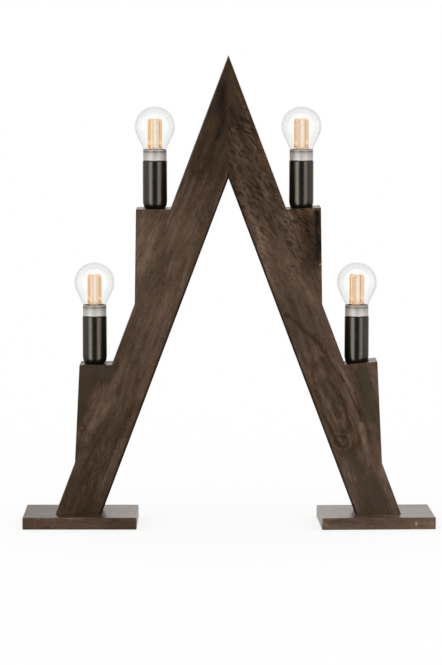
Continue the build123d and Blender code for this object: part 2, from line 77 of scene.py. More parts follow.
class Level(Enum):
    """The two rows of steps."""

    UPPER = "upper"
    LOWER = "lower"


class Slot(Enum):
    """Names of the record's material slots, one for each kind of new piece."""

    STEEL = "steel"
    BLACK_PLASTIC = "black_plastic"
    NICKEL = "nickel"
    COLLAR = "collar_metal"
    GLASS = "clear_glass"
    STEM = "stem_glass"
    FILAMENT = "filament"


def srgb(red: float, green: float, blue: float) -> Colour:
    """A colour given as it looks on a screen, in linear light.

    Args:
        red: Red from 0 to 255.
        green: Green from 0 to 255.
        blue: Blue from 0 to 255.

    Returns:
        The linear colour with full alpha.
    """
    def linear(level: float) -> float:
        """One channel in linear light."""
        share = level / 255
        return share / 12.92 if share <= 0.04045 else ((share + 0.055) / 1.055) ** 2.4

    return (linear(red), linear(green), linear(blue), 1.0)


class Value:
    """An output socket that can stand in a Python expression."""

    def __init__(self, tree: "NodeTree", socket: bpy.types.NodeSocket) -> None:
        """Wraps a socket.

        Args:
            tree: The tree that the socket belongs to.
            socket: The output socket.
        """
        self.tree = tree
        self.socket = socket

    def maths(self, operation: str, first: Any, second: Any = 0.0) -> "Value":
        """Adds a Math node.

        Args:
            operation: The node's operation.
            first: First operand, a number or a value.
            second: Second operand.

        Returns:
            The result.
        """
        return self.tree.add("ShaderNodeMath", {"operation": operation}, {0: first, 1: second})

    def __add__(self, other: Any) -> "Value":
        """Sum."""
        return self.maths("ADD", self, other)

    def __radd__(self, other: Any) -> "Value":
        """Sum, from the right."""
        return self.maths("ADD", other, self)

    def __sub__(self, other: Any) -> "Value":
        """Difference."""
        return self.maths("SUBTRACT", self, other)

    def __rsub__(self, other: Any) -> "Value":
        """Difference, from the right."""
        return self.maths("SUBTRACT", other, self)

    def __mul__(self, other: Any) -> "Value":
        """Product."""
        return self.maths("MULTIPLY", self, other)

    def __rmul__(self, other: Any) -> "Value":
        """Product, from the right."""
        return self.maths("MULTIPLY", other, self)

    def __truediv__(self, other: Any) -> "Value":
        """Quotient."""
        return self.maths("DIVIDE", self, other)

    def __rtruediv__(self, other: Any) -> "Value":
        """Quotient, from the right."""
        return self.maths("DIVIDE", other, self)

    def __pow__(self, other: Any) -> "Value":
        """Power."""
        return self.maths("POWER", self, other)

    def __abs__(self) -> "Value":
        """Size without sign."""
        return self.maths("ABSOLUTE", self)

    def larger(self, other: Any) -> "Value":
        """The larger of two values."""
        return self.maths("MAXIMUM", self, other)

    def smaller(self, other: Any) -> "Value":
        """The smaller of two values."""
        return self.maths("MINIMUM", self, other)

    def sine(self) -> "Value":
        """Sine of the value in radians."""
        return self.maths("SINE", self)

    def rise(self, low: float, high: float) -> "Value":
        """A smooth step.

        Args:
            low: Value at which the step is 0.
            high: Value at which the step is 1; it may lie below low.

        Returns:
            The step, from 0 to 1.
        """
        spans = {"Value": self, "From Min": min(low, high), "From Max": max(low, high)}
        if low > high:
            spans |= {"To Min": 1.0, "To Max": 0.0}
        return self.tree.add("ShaderNodeMapRange", {"interpolation_type": "SMOOTHSTEP"}, spans)


class NodeTree:
    """A node tree under construction."""

    def __init__(self, tree: bpy.types.NodeTree) -> None:
        """Takes an existing tree and empties it.

        Args:
            tree: The tree to build in.
        """
        self.tree = tree
        self.tree.nodes.clear()

    def add(
        self, kind: str, settings: Inputs | None = None, inputs: Inputs | None = None, output: Any = 0,
    ) -> Value:
        """Adds any node.

        Args:
            kind: The node's type.
            settings: The node's own settings, set first; "stops" are the stops of a colour ramp.
            inputs: Numbers or values for its input sockets, by name or place.
            output: The output socket to return.

        Returns:
            The chosen output.
        """
        node = self.tree.nodes.new(kind)
        for key, setting in (settings or {}).items():
            if key == "stops":
                self._set_stops(node.color_ramp.elements, setting)
            else:
                setattr(node, key, setting)
        for key, given in (inputs or {}).items():
            if isinstance(given, Value):
                self.tree.links.new(given.socket, node.inputs[key])
            else:
                node.inputs[key].default_value = given
        return Value(self, node.outputs[output] if len(node.outputs) else None)

    @staticmethod
    def _set_stops(elements: bpy.types.ColorRampElements, stops: Sequence[tuple[float, Colour]]) -> None:
        """Gives a colour ramp its stops.

        Args:
            elements: The ramp's elements.
            stops: Places from 0 to 1 with their colours, at least two.
        """
        while len(elements) < len(stops):
            elements.new(1.0)
        for element, (place, colour) in zip(elements, stops):
            element.position = place
            element.color = colour

    def vector(self, x: Any = 0.0, y: Any = 0.0, z: Any = 0.0) -> Value:
        """A vector from X, Y and Z."""
        return self.add("ShaderNodeCombineXYZ", inputs={0: x, 1: y, 2: z})

    def split(self, vector: Value) -> tuple[Value, Value, Value]:
        """X, Y and Z of a vector."""
        first = self.add("ShaderNodeSeparateXYZ", inputs={"Vector": vector})
        node = first.socket.node
        return first, Value(self, node.outputs[1]), Value(self, node.outputs[2])

    def mix(self, factor: Any, first: Any, second: Any) -> Value:
        """Mixes two colours."""
        inputs = {0: factor, 6: first, 7: second}
        return self.add("ShaderNodeMix", {"data_type": "RGBA"}, inputs, 2)


class ShaderTree(NodeTree):
    """The nodes of one material."""

    def __init__(self, name: str) -> None:
        """Starts an empty material.

        Args:
            name: The material's name.
        """
        self.material = bpy.data.materials.new(name)
        self.material.use_nodes = True
        super().__init__(self.material.node_tree)

    def place(self, origin: Point = (0, 0, 0), turn: Point = (0, 0, 0), scale: Point = (MM, MM, MM)) -> Value:
        """Coordinates of a piece's own frame, in millimetres.

        Args:
            origin: The frame's origin in metres.
            turn: The frame's turn as Euler angles.
            scale: Metres to one unit along each axis.

        Returns:
            The point in that frame.
        """
        spot = self.add("ShaderNodeTexCoord", output="Object")
        inputs = {"Vector": spot, "Location": origin, "Rotation": turn, "Scale": scale}
        return self.add("ShaderNodeMapping", {"vector_type": "TEXTURE"}, inputs)

    def noise(self, vector: Value, scale: float, detail: float = 2.0, roughness: float = 0.5) -> Value:
        """Soft noise about 0.5.

        Args:
            vector: Where it is read.
            scale: Cells to a unit.
            detail: Octaves.
            roughness: How strong the finer octaves are.

        Returns:
            The noise, from 0 to 1.
        """
        inputs = {"Vector": vector, "Scale": scale, "Detail": detail, "Roughness": roughness}
        return self.add("ShaderNodeTexNoise", inputs=inputs)

    def ramp(self, factor: Value, stops: Sequence[tuple[float, Colour]]) -> Value:
        """A colour ramp."""
        return self.add("ShaderNodeValToRGB", {"stops": stops}, {"Fac": factor})

    def bump(self, height: Value, strength: float, distance: float) -> Value:
        """A normal bent by a height.

        Args:
            height: The height, about 0 to 1.
            strength: Share of the effect.
            distance: Metres that a height of 1 stands for.

        Returns:
            The normal.
        """
        inputs = {"Height": height, "Strength": strength, "Distance": distance}
        return self.add("ShaderNodeBump", inputs=inputs)

    def principled(self, **inputs: Any) -> Value:
        """A principled shader, its sockets named with underscores."""
        named = {key.replace("_", " ").title().replace("Ior", "IOR"): given for key, given in inputs.items()}
        return self.add("ShaderNodeBsdfPrincipled", inputs=named)

    def finish(self, shader: Value) -> bpy.types.Material:
        """Ends the tree in a shader and returns the material."""
        self.add("ShaderNodeOutputMaterial", inputs={"Surface": shader})
        return self.material


class GeometryTree(NodeTree):
    """A Geometry Nodes tree with named inputs that ends in one plain mesh."""

    def __init__(self, name: str, inputs: dict[str, str]) -> None:
        """Starts a tree.

        Args:
            name: The tree's name.
            inputs: Names of its inputs, with their socket types.
        """
        super().__init__(bpy.data.node_groups.new(name, "GeometryNodeTree"))
        face = self.tree.interface
        face.new_socket("Geometry", in_out="INPUT", socket_type="NodeSocketGeometry")
        face.new_socket("Geometry", in_out="OUTPUT", socket_type="NodeSocketGeometry")
        self.keys: dict[str, str] = {}
        for word, kind in {**inputs, "Material": "NodeSocketMaterial"}.items():
            self.keys[word] = face.new_socket(word, in_out="INPUT", socket_type=kind).identifier
        self.entry = self.tree.nodes.new("NodeGroupInput")

    def given(self, word: str) -> Value:
        """The value of a named input."""
        return Value(self, self.entry.outputs[word])

    def join(self, *parts: Value) -> Value:
        """Several geometries as one."""
        node = self.tree.nodes.new("GeometryNodeJoinGeometry")
        for part in parts:
            self.tree.links.new(part.socket, node.inputs[0])
        return Value(self, node.outputs[0])

    def moved(self, geometry: Value, shift: Any = (0, 0, 0), turn: Any = (0, 0, 0)) -> Value:
        """A geometry moved and turned.

        Args:
            geometry: What is moved.
            shift: The move, a vector or a value.
            turn: The turn as Euler angles.

        Returns:
            The moved geometry.
        """
        inputs = {"Geometry": geometry, "Translation": shift, "Rotation": turn}
        return self.add("GeometryNodeTransform", inputs=inputs)

    def rod(self, sides: int, radius: Value, length: Value) -> Value:
        """An upright cylinder about its own middle."""
        inputs = {"Vertices": sides, "Radius": radius, "Depth": length}
        return self.add("GeometryNodeMeshCylinder", inputs=inputs)

    def tube(self, curve: Value, sides: int, radius: Value) -> Value:
        """A round rod along a curve, closed at its ends.

        Args:
            curve: The curve.
            sides: Sides of its section.
            radius: Radius of its section.

        Returns:
            The rod.
        """
        section = self.add("GeometryNodeCurvePrimitiveCircle", inputs={"Resolution": sides, "Radius": radius})
        inputs = {"Curve": curve, "Profile Curve": section, "Fill Caps": True}
        return self.add("GeometryNodeCurveToMesh", inputs=inputs)

    def on_points(self, points: Value, instance: Value, turn: Any = (0, 0, 0)) -> Value:
        """Sets a geometry on every point.

        Args:
            points: The points.
            instance: The geometry.
            turn: The turn of each as Euler angles.

        Returns:
            The instances.
        """
        inputs = {"Points": points, "Instance": instance, "Rotation": turn}
        return self.add("GeometryNodeInstanceOnPoints", inputs=inputs)

    def close(self, geometry: Value) -> None:
        """Ends the tree with real meshes in the given material."""
        real = self.add("GeometryNodeRealizeInstances", inputs={"Geometry": geometry})
        inputs = {"Geometry": real, "Material": self.given("Material")}
        dressed = self.add("GeometryNodeSetMaterial", inputs=inputs)
        self.add("NodeGroupOutput", inputs={0: dressed})

    def mesh(
        self, name: str, points: Sequence[Vector], material: bpy.types.Material, **values: Any,
    ) -> bpy.types.Object:
        """Runs the tree once and keeps the result as a plain mesh.

        Args:
            name: The piece's name.
            points: Points that the tree starts from.
            material: The material that it sets.
            **values: Values of the named inputs, spelt with underscores.

        Returns:
            The piece, without modifiers.
        """
        start = bpy.data.meshes.new(f"{name}_points")
        start.from_pydata([tuple(point) for point in points], [], [])
        carrier = bpy.data.objects.new(f"{name}_carrier", start)
        bpy.context.scene.collection.objects.link(carrier)
        modifier = carrier.modifiers.new("tree", "NODES")
        modifier.node_group = self.tree
        modifier[self.keys["Material"]] = material
        for word, value in values.items():
            modifier[self.keys[word.replace("_", " ").title()]] = value
        graph = bpy.context.evaluated_depsgraph_get()
        made = bpy.data.meshes.new_from_object(carrier.evaluated_get(graph))
        bpy.data.objects.remove(carrier)
        piece = bpy.data.objects.new(name, made)
        bpy.context.scene.collection.objects.link(piece)
        return piece


def smooth(piece: bpy.types.Object, angle: float = 35.0) -> bpy.types.Object:
    """Shades a piece smooth, with sharp edges past an angle in degrees, and returns it."""
    piece.data.polygons.foreach_set("use_smooth", [True] * len(piece.data.polygons))
    piece.data.set_sharp_from_angle(angle=math.radians(angle))
    return piece


def arc(centre: tuple[float, float], radius: float, start: float, end: float, steps: int = 10) -> Profile:
    """Points of an arc in radius and height.

    Args:
        centre: Centre of the arc.
        radius: Its radius.
        start: First angle in degrees, from the outward direction towards up.
        end: Last angle in degrees.
        steps: Number of chords.

    Returns:
        The points.
    """
    angles = [math.radians(start + (end - start) * i / steps) for i in range(steps + 1)]
    return [(centre[0] + radius * math.cos(a), centre[1] + radius * math.sin(a)) for a in angles]


def lathe(name: str, profile: Profile, axis: Vector, material: bpy.types.Material) -> bpy.types.Object:
    """A turned piece.

    Args:
        name: The piece's name.
        profile: Closed outline in radius and height, in metres.
        axis: A point of the upright axis, from which the heights count.
        material: Its material.

    Returns:
        The piece, its place in its mesh.
    """
    build = bmesh.new()
    rings = []
    for radius, height in profile:
        steps = LATHE_STEPS if radius > ON_AXIS else 1
        turns = [2 * math.pi * i / steps for i in range(steps)]
        places = [Vector((radius * math.cos(t), radius * math.sin(t), height)) for t in turns]
        rings.append([build.verts.new(axis + place) for place in places])
    for lower, upper in zip(rings, rings[1:] + rings[:1]):
        if len(lower) == len(upper) == 1:
            continue
        for i in range(LATHE_STEPS):
            j = (i + 1) % LATHE_STEPS
            around = ((lower, i), (lower, j), (upper, j), (upper, i))
            corners = [ring[step % len(ring)] for ring, step in around]
            build.faces.new(list(dict.fromkeys(corners)))
    bmesh.ops.recalc_face_normals(build, faces=build.faces)
    mesh = bpy.data.meshes.new(name)
    build.to_mesh(mesh)
    build.free()
    mesh.materials.append(material)
    piece = bpy.data.objects.new(name, mesh)
    bpy.context.scene.collection.objects.link(piece)
    return smooth(piece)


def islands(node: str) -> list[tuple[Vector, Vector]]:
    """Boxes of the separate solids of a node.

    Args:
        node: The node's name.

    Returns:
        Lowest and highest corner of each solid, ordered by place so that every run draws alike.
    """
    build = bmesh.new()
    build.from_mesh(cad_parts[node].data)
    bmesh.ops.remove_doubles(build, verts=build.verts, dist=MM / 1000)
    left = set(build.verts)
    boxes = []
    while left:
        group, reached = [], [left.pop()]
        while reached:
            vertex = reached.pop()
            group.append(vertex.co.copy())
            near = {edge.other_vert(vertex) for edge in vertex.link_edges} & left
            left -= near
            reached.extend(near)
        boxes.append((Vector(map(min, zip(*group))), Vector(map(max, zip(*group)))))
    build.free()
    return sorted(boxes, key=lambda box: tuple(round(level / MM) for level in box[0]))


def dress(node: str, material: bpy.types.Material) -> None:
    """Gives a node that keeps its own shape a material."""
    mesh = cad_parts[node].data
    mesh.materials.clear()
    mesh.materials.append(material)
    LOG.info("dressed %s in %s", node, material.name)


def place_piece(piece: bpy.types.Object, body: str, slot: Slot, *nodes: str) -> None:
    """Lets a new piece ride on a body and stand for its nodes.

    Args:
        piece: The piece.
        body: The body that it moves with.
        slot: Not used.
        *nodes: The nodes that it replaces.
    """
    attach(piece, body)
    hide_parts(*nodes)
    LOG.info("built %s on %s for %s", piece.name, body, ", ".join(nodes))


@dataclass(frozen=True)
class Band:
    """A smooth step of a value, from nothing at low to its share at high; low may lie above high."""

    low: float
    high: float
    share: float = 1.0

    def of(self, value: Value) -> Value:
        """The step at a value."""
        return value.rise(self.low, self.high) * self.share


@dataclass(frozen=True)
class Layer:
    """One noise of a grain, stretched across, through and along its piece.

    Its shares say how much it changes the shade, the roughness and the height of a board's surface.
    """

    stretch: Point
    scale: float = 1.0
    detail: float = 2.0
    fine: float = 0.5
    shade: float = 0.0
    rough: float = 0.0
    height: float = 0.0

    def noise(self, tree: ShaderTree, spot: Value) -> Value:
        """The noise at a place.

        Args:
            tree: The material's tree.
            spot: Place across, through and along the piece.

        Returns:
            A share from 0 to 1.
        """
        inputs = {0: spot, 1: self.stretch}
        stretched = tree.add("ShaderNodeVectorMath", {"operation": "MULTIPLY"}, inputs)
        return tree.noise(stretched, self.scale, self.detail, self.fine)


@dataclass(frozen=True)
class Streak:
    """A soft line or patch in the wood, through points in millimetres across and along the grain.

    It spreads by its reach to each side. A strength below zero darkens, one above zero lightens; olive is its
    share of olive stain.
    """

    points: tuple[tuple[float, float], ...]
    reach: float
    strength: float
    olive: float = 0.0

    def spread(self, across: Value, along: Value) -> Value:
        """How strongly the streak shows.

        Args:
            across: Place across the grain.
            along: Place along the grain.

        Returns:
            A share from 0 to 1.
        """
        nearest = self._gap(across, along, 0)
        for i in range(1, len(self.points) - 1):
            nearest = nearest.smaller(self._gap(across, along, i))
        return nearest.rise(self.reach, 0.0)

    def _gap(self, across: Value, along: Value, i: int) -> Value:
        """Distance from one stretch of the line.

        Args:
            across: Place across the grain.
            along: Place along the grain.
            i: The number of the stretch's first point.

        Returns:
            The distance.
        """
        start, end = self.points[i:i + 2]
        run = (end[0] - start[0], end[1] - start[1])
        square = run[0] ** 2 + run[1] ** 2
        dx = across - start[0]
        dz = along - start[1]
        part = ((dx * run[0] + dz * run[1]) / square).larger(0.0).smaller(1.0)
        return ((dx - part * run[0]) ** 2.0 + (dz - part * run[1]) ** 2.0) ** 0.5


@dataclass(frozen=True)
class Knot:
    """A small knot with soft rings about it, in millimetres across and along the grain."""

    centre: tuple[float, float]
    reach: float
    strength: float
    ring: float
    stretch: float = 0.75
    olive: float = 0.0

    WOBBLE = 16.0
    WOBBLE_SCALE = 0.06
    HEART_SHARE = 0.1

    def spread(self, across: Value, along: Value) -> Value:
        """How strongly the knot's rings show.

        Args:
            across: Place across the grain.
            along: Place along the grain.

        Returns:
            A share from 0 to 1.
        """
        tree = across.tree
        dx = across - self.centre[0]
        dz = (along - self.centre[1]) * self.stretch
        gap = (dx ** 2.0 + dz ** 2.0) ** 0.5
        spot = tree.vector(across, along * self.stretch)
        wobble = tree.noise(spot, self.WOBBLE_SCALE, 2.0, 0.6) * self.WOBBLE
        rings = ((gap + wobble) * (2 * math.pi / self.ring)).sine() * 0.5 + 0.5
        return rings * gap.rise(self.reach, self.reach * self.HEART_SHARE)


@dataclass(frozen=True)
class StainedWood:
    """Dark stain under satin lacquer on one board.

    The board's own frame has its grain along Z, its width along X and its depth along Y, all in millimetres.
    A half width of zero leaves out what happens along its edges. The curl span is where it has curl figure.
    """

    name: str
    origin: Point
    turn: float
    half_depth: float
    seed: float
    half_width: float = 0.0
    tone: float = 0.0
    curl_span: tuple[float, float] | None = None
    dark_side: float = 0.0
    lacquer: float = 0.36
    lacquer_slope: float = 0.0
    shading: tuple[tuple[float, float], ...] = ()
    marks: tuple[Streak | Knot, ...] = ()

    STAIN = (
        (0.0, srgb(18, 10, 5)), (0.3, srgb(59, 42, 28)), (0.52, srgb(90, 71, 58)), (0.76, srgb(121, 100, 83)),
        (1.0, srgb(150, 129, 111)),
    )
    OLIVE = srgb(65, 55, 42)
    OLIVE_CLOUDS = Band(0.05, -0.2, 0.3)
    MOST_OLIVE = 0.8
    MEAN_SHADE = 0.48
    ROUGHNESS = 0.4
    SPECULAR = 0.12
    COAT_ROUGHNESS = 0.2
    COAT_MOTTLE = 0.5
    BUMP = 0.2
    BUMP_HEIGHT = 0.25 * MM
    SEED_STEP = 7.3

    DRIFT = Layer((0.4, 0.3, 0.25), 0.045, 1.0)
    DRIFT_REACH = 20.0
    STREAKS = Layer((0.12, 0.12, 0.01), fine=0.55, shade=0.42)
    FIBRES = Layer((0.42, 0.42, 0.045), shade=0.19, rough=0.25, height=0.5)
    THREADS = Layer((1.5, 1.5, 0.05), fine=0.6, shade=0.12, height=0.5)
    PORES = Layer((1.2, 1.2, 0.09), detail=1.0, shade=-0.08, rough=0.12, height=-1.0)
    PORE_EDGE = Band(0.58, 0.7)
    CLOUDS = Layer((1.2, 1.0, 0.45), 0.032, 1.0, shade=0.3)
    MOTTLE = Layer((1.0, 1.0, 0.34), 0.17, fine=0.6, shade=0.24, rough=0.3, height=0.3)
    GRIT = Layer((1.0, 1.0, 0.4), 0.5, fine=0.6, shade=0.26)

    MARK_WANDER_ACROSS = 9.0
    MARK_WANDER_ALONG = 16.0
    MARK_DEPTH_SHARE = 0.3

    CURL_FADE = 0.25
    CURL_SLOPE = 1.1
    CURL_WANDER = Layer((1.0, 1.0, 1.0), 0.06)
    CURL_WANDER_REACH = 14.0
    FLECKS = Layer((0.18, 0.17, 0.18), detail=1.0)
    PALE_FLECKS = Band(0.5, 0.3, 0.1)
    DARK_FLECKS = Band(0.48, 0.72, -0.28)
    PATCHES = Layer((1.0, 1.0, 1.0), 0.05, 1.0)
    PATCH_EDGE = Band(0.3, 0.62, 0.8)
    PATCH_LEAST = 0.2

    EDGE_START = 1.6
    EDGE_FULL = 0.2
    # Painted shade darkens a leg's inner edge, on the underside of the arch; the outer edge gets a darker
    # stain.
    INNER_PAINTED_SHADE = Band(3.2, 0.5, -0.45)
    OUTER_LINE = Band(1.6, 0.4, -0.1)
    # Rubbed, lighter corners: partly wear, partly a painted highlight along the edges.
    RUB_AND_PAINTED_HIGHLIGHT = Band(-0.05, 0.25, 0.3)

    def material(self) -> bpy.types.Material:
        """Builds the material."""
        tree = ShaderTree(self.name)
        across, deep, along = tree.split(tree.place(self.origin, (0, self.turn, 0)))
        side = deep + self.seed * self.SEED_STEP
        spot = tree.vector(across, side, along)
        drift = self.DRIFT.noise(tree, spot) - 0.5
        bent = tree.vector(across + drift * self.DRIFT_REACH, side, along)
        clouds = self.CLOUDS.noise(tree, spot) - 0.5
        mottle = self.MOTTLE.noise(tree, spot) - 0.5
        grain = {
            self.STREAKS: self.STREAKS.noise(tree, bent) - 0.5,
            self.FIBRES: self.FIBRES.noise(tree, bent) - 0.5,
            self.THREADS: self.THREADS.noise(tree, bent) - 0.5,
            self.PORES: self.PORE_EDGE.of(self.PORES.noise(tree, bent)),
            self.CLOUDS: clouds,
            self.MOTTLE: mottle,
            self.GRIT: self.GRIT.noise(tree, spot) - 0.5,
        }
        layers = grain.items()
        shade = sum((noise * layer.shade for layer, noise in layers), self.MEAN_SHADE + self.tone)
        roughness = sum((noise * layer.rough for layer, noise in layers if layer.rough), self.ROUGHNESS)
        height = sum((noise * layer.height for layer, noise in layers if layer.height), 0.0)
        if self.shading:
            shade = shade + self._shift(tree, along)
        if self.curl_span:
            shade = shade + self._curl(tree, across, side, along)
        olive = self.OLIVE_CLOUDS.of(clouds)
        wander = (across + mottle * self.MARK_WANDER_ACROSS, along + clouds * self.MARK_WANDER_ALONG)
        for mark in self.marks:
            spread = mark.spread(*wander) * self._front(mark.reach, deep)
            shade = shade + spread * mark.strength
            if mark.olive:
                olive = olive + spread * mark.olive
        if self.half_width:
            shade = shade + self._edges(across, deep, mottle)
        coat = self.lacquer + mottle * self.COAT_MOTTLE
        if self.lacquer_slope:
            coat = coat + along * self.lacquer_slope
        shader = tree.principled(
            base_color=tree.mix(olive.smaller(self.MOST_OLIVE), tree.ramp(shade, self.STAIN), self.OLIVE),
            roughness=roughness,
            specular_ior_level=self.SPECULAR,
            normal=tree.bump(height, self.BUMP, self.BUMP_HEIGHT),
            coat_weight=coat,
            coat_roughness=self.COAT_ROUGHNESS,
        )
        return tree.finish(shader)

    def _shift(self, tree: ShaderTree, along: Value) -> Value:
        """The slow change of tone along the board.

        Args:
            tree: The material's tree.
            along: Place along the grain.

        Returns:
            A shade about zero.
        """
        low, high = self.shading[0][0], self.shading[-1][0]
        stops = [((mm - low) / (high - low), (0.5 + shade,) * 3 + (1.0,)) for mm, shade in self.shading]
        return tree.ramp((along - low) / (high - low), stops) - 0.5

    def _curl(self, tree: ShaderTree, across: Value, side: Value, along: Value) -> Value:
        """Curl figure: soft dark flecks across the grain within a span of the board.

        Args:
            tree: The material's tree.
            across: Place across the grain.
            side: Place through the board.
            along: Place along the grain.

        Returns:
            The shade to add.
        """
        low, high = self.curl_span
        fade = (high - low) * self.CURL_FADE
        inside = along.rise(low, low + fade) * along.rise(high, high - fade)
        spot = tree.vector(across, side, along)
        wander = self.CURL_WANDER.noise(tree, spot) * self.CURL_WANDER_REACH
        slope = along + across * self.CURL_SLOPE + wander
        flecks = self.FLECKS.noise(tree, tree.vector(across, side, slope))
        patches = self.PATCH_EDGE.of(self.PATCHES.noise(tree, spot)) + self.PATCH_LEAST
        return (self.PALE_FLECKS.of(flecks) + self.DARK_FLECKS.of(flecks)) * inside * patches

    def _front(self, reach: float, deep: Value) -> Value:
        """How far a mark goes into the board from its front face.

        Args:
            reach: The mark's reach to its sides.
            deep: Place through the board.

        Returns:
            A share, 1 at the front face.
        """
        depth = max(2 * reach, self.MARK_DEPTH_SHARE * self.half_depth)
        return deep.rise(depth - self.half_depth, -self.half_depth)

    def _edges(self, across: Value, deep: Value, mottle: Value) -> Value:
        """Painted shade along the inner edge of a board with a shaded side and darker stain along its outer
        edge; on any other board rubbed, lighter corners, partly wear and partly painted highlight.

        Args:
            across: Place across the grain.
            deep: Place through the board.
            mottle: Noise that breaks the rubbed corners up.

        Returns:
            The shade to add.
        """
        flush = abs(deep).rise(self.half_depth - self.EDGE_START, self.half_depth - self.EDGE_FULL)
        if self.dark_side:
            # Painted shade on the inner edge, darker stain on the outer edge.
            inner = self.half_width - across * self.dark_side
            outer = self.half_width + across * self.dark_side
            return (self.INNER_PAINTED_SHADE.of(inner) + self.OUTER_LINE.of(outer)) * flush
        # Rubbed, lighter corners, partly wear and partly painted highlight.
        near = abs(across).rise(self.half_width - self.EDGE_START, self.half_width - self.EDGE_FULL)
        return near * flush * self.RUB_AND_PAINTED_HIGHLIGHT.of(mottle)


@dataclass(frozen=True)
class PlainFinish:
    """A finish of one even material with fine unevenness: moulded plastic, rubber, metal or bare wood."""

    name: str
    colour: Colour
    shadow: Colour
    roughness: float
    metallic: float = 0.0
    grain: Point = (1.0, 1.0, 1.0)
    grain_scale: float = 0.8
    bump: float = 0.08
    specular: float = 0.5
    tint: Colour = WHITE

    BROAD_SCALE = 0.12
    FINE_COLOUR = 0.9
    BROAD_COLOUR = 1.1
    FINE_ROUGH = 0.16
    BROAD_ROUGH = 0.12
    BUMP_HEIGHT = 0.1 * MM

    def material(self) -> bpy.types.Material:
        """Builds the material."""
        tree = ShaderTree(self.name)
        spot = tree.place()
        fine = Layer(self.grain, self.grain_scale, detail=3.0, fine=0.6).noise(tree, spot) - 0.5
        broad = Layer(self.grain, self.grain_scale * self.BROAD_SCALE).noise(tree, spot) - 0.5
        worn = (fine * self.FINE_COLOUR + broad * self.BROAD_COLOUR + 0.5).larger(0.0).smaller(1.0)
        shader = tree.principled(
            base_color=tree.mix(worn, self.shadow, self.colour),
            roughness=self.roughness + fine * self.FINE_ROUGH + broad * self.BROAD_ROUGH,
            metallic=self.metallic,
            specular_ior_level=self.specular,
            specular_tint=self.tint,
            normal=tree.bump(fine, self.bump, self.BUMP_HEIGHT),
        )
        return tree.finish(shader)


@dataclass(frozen=True)
class ClearGlass:
    """Thin clear glass: see-through, glossy at a slant, with a faint grey rim of painted shade that is
    painted weaker at the crown, as if lit from above.
    """

    name: str = "clear_blown_glass"
    clear: Colour = (0.996, 0.996, 0.995, 1.0)
    # rim: colour of the painted shade at the glass's edge.
    rim: Colour = (0.905, 0.905, 0.9, 1.0)
    rim_shade_band: Band = Band(0.38, 0.95)
    crown_light_band: Band = Band(0.4, 1.0, 0.5)
    gloss_share: float = 0.1
    gloss_roughness: float = 0.03
    ior: float = 1.45
    ripple_scale: float = 0.06
    ripple_strength: float = 0.05
    ripple_height: float = 0.6 * MM

    def material(self) -> bpy.types.Material:
        """Builds the material."""
        tree = ShaderTree(self.name)
        facing = tree.add("ShaderNodeLayerWeight", inputs={"Blend": 0.5}, output="Facing")
        *_, upward = tree.split(tree.add("ShaderNodeNewGeometry", output="Normal"))
        clear = tree.add("ShaderNodeBsdfTransparent", inputs={"Color": self.clear})
        grey = tree.add("ShaderNodeBsdfTransparent", inputs={"Color": self.rim})
        # Painted shade: grey at a slant, painted weaker where the surface faces up, as if lit from above.
        rim_shade_share = self.rim_shade_band.of(facing) * (1.0 - self.crown_light_band.of(upward))
        film = tree.add("ShaderNodeMixShader", inputs={0: rim_shade_share, 1: clear, 2: grey})
        ripple = tree.noise(tree.place(), self.ripple_scale, 1.0)
        normal = tree.bump(ripple, self.ripple_strength, self.ripple_height)
        shine = {"Color": WHITE, "Roughness": self.gloss_roughness, "Normal": normal}
        gloss = tree.add("ShaderNodeBsdfGlossy", inputs=shine)
        share = tree.add("ShaderNodeFresnel", inputs={"IOR": self.ior, "Normal": normal}) * self.gloss_share
        return tree.finish(tree.add("ShaderNodeMixShader", inputs={0: share, 1: film, 2: gloss}))


@dataclass(frozen=True)
class BandedFinish:
    """A finish of a lamp's piece whose colour changes with height: collar, filament coating or stem glass.

    Within the core's radius about the axis the core's colour stands instead: cement grey, darkened as painted
    shade of the collar's inside.
    """

    name: str
    axis: Vector
    low: float
    high: float
    stops: tuple[tuple[float, Colour], ...]
    roughness: float
    # glow is painted light: the piece gives off light of its own colour though nothing in it is lit.
    glow: float = 0.0
    metallic: float = 0.0
    core: float = 0.0

    # Cement grey, darkened as painted shade inside the collar's mouth.
    CEMENT_AND_SHADE_COLOUR = srgb(150, 140, 130)
    CORE_EDGE = 0.2 * MM
    GRIT_SCALE = 900.0
    GRIT_HEIGHT = 0.06
    GRIT_ROUGH = 0.2
    BUMP = 0.15
    BUMP_HEIGHT = 0.1 * MM

    def material(self) -> bpy.types.Material:
        """Builds the material."""
        tree = ShaderTree(self.name)
        point = tree.place(tuple(self.axis), scale=(1.0, 1.0, 1.0))
        across, deep, height = tree.split(point)
        grit = tree.noise(point, self.GRIT_SCALE) - 0.5
        part = (height - self.low) / (self.high - self.low) + grit * self.GRIT_HEIGHT
        colour = tree.ramp(part, self.stops)
        if self.core:
            reach = (across ** 2.0 + deep ** 2.0) ** 0.5
            colour = tree.mix(reach.rise(self.core + self.CORE_EDGE, self.core), colour, self.CEMENT_AND_SHADE_COLOUR)
        shader = tree.principled(
            base_color=colour,
            roughness=self.roughness + grit * self.GRIT_ROUGH,
            metallic=self.metallic,
            normal=tree.bump(grit, self.BUMP, self.BUMP_HEIGHT),
            emission_color=colour,
            emission_strength=self.glow,
        )
        return tree.finish(shader)


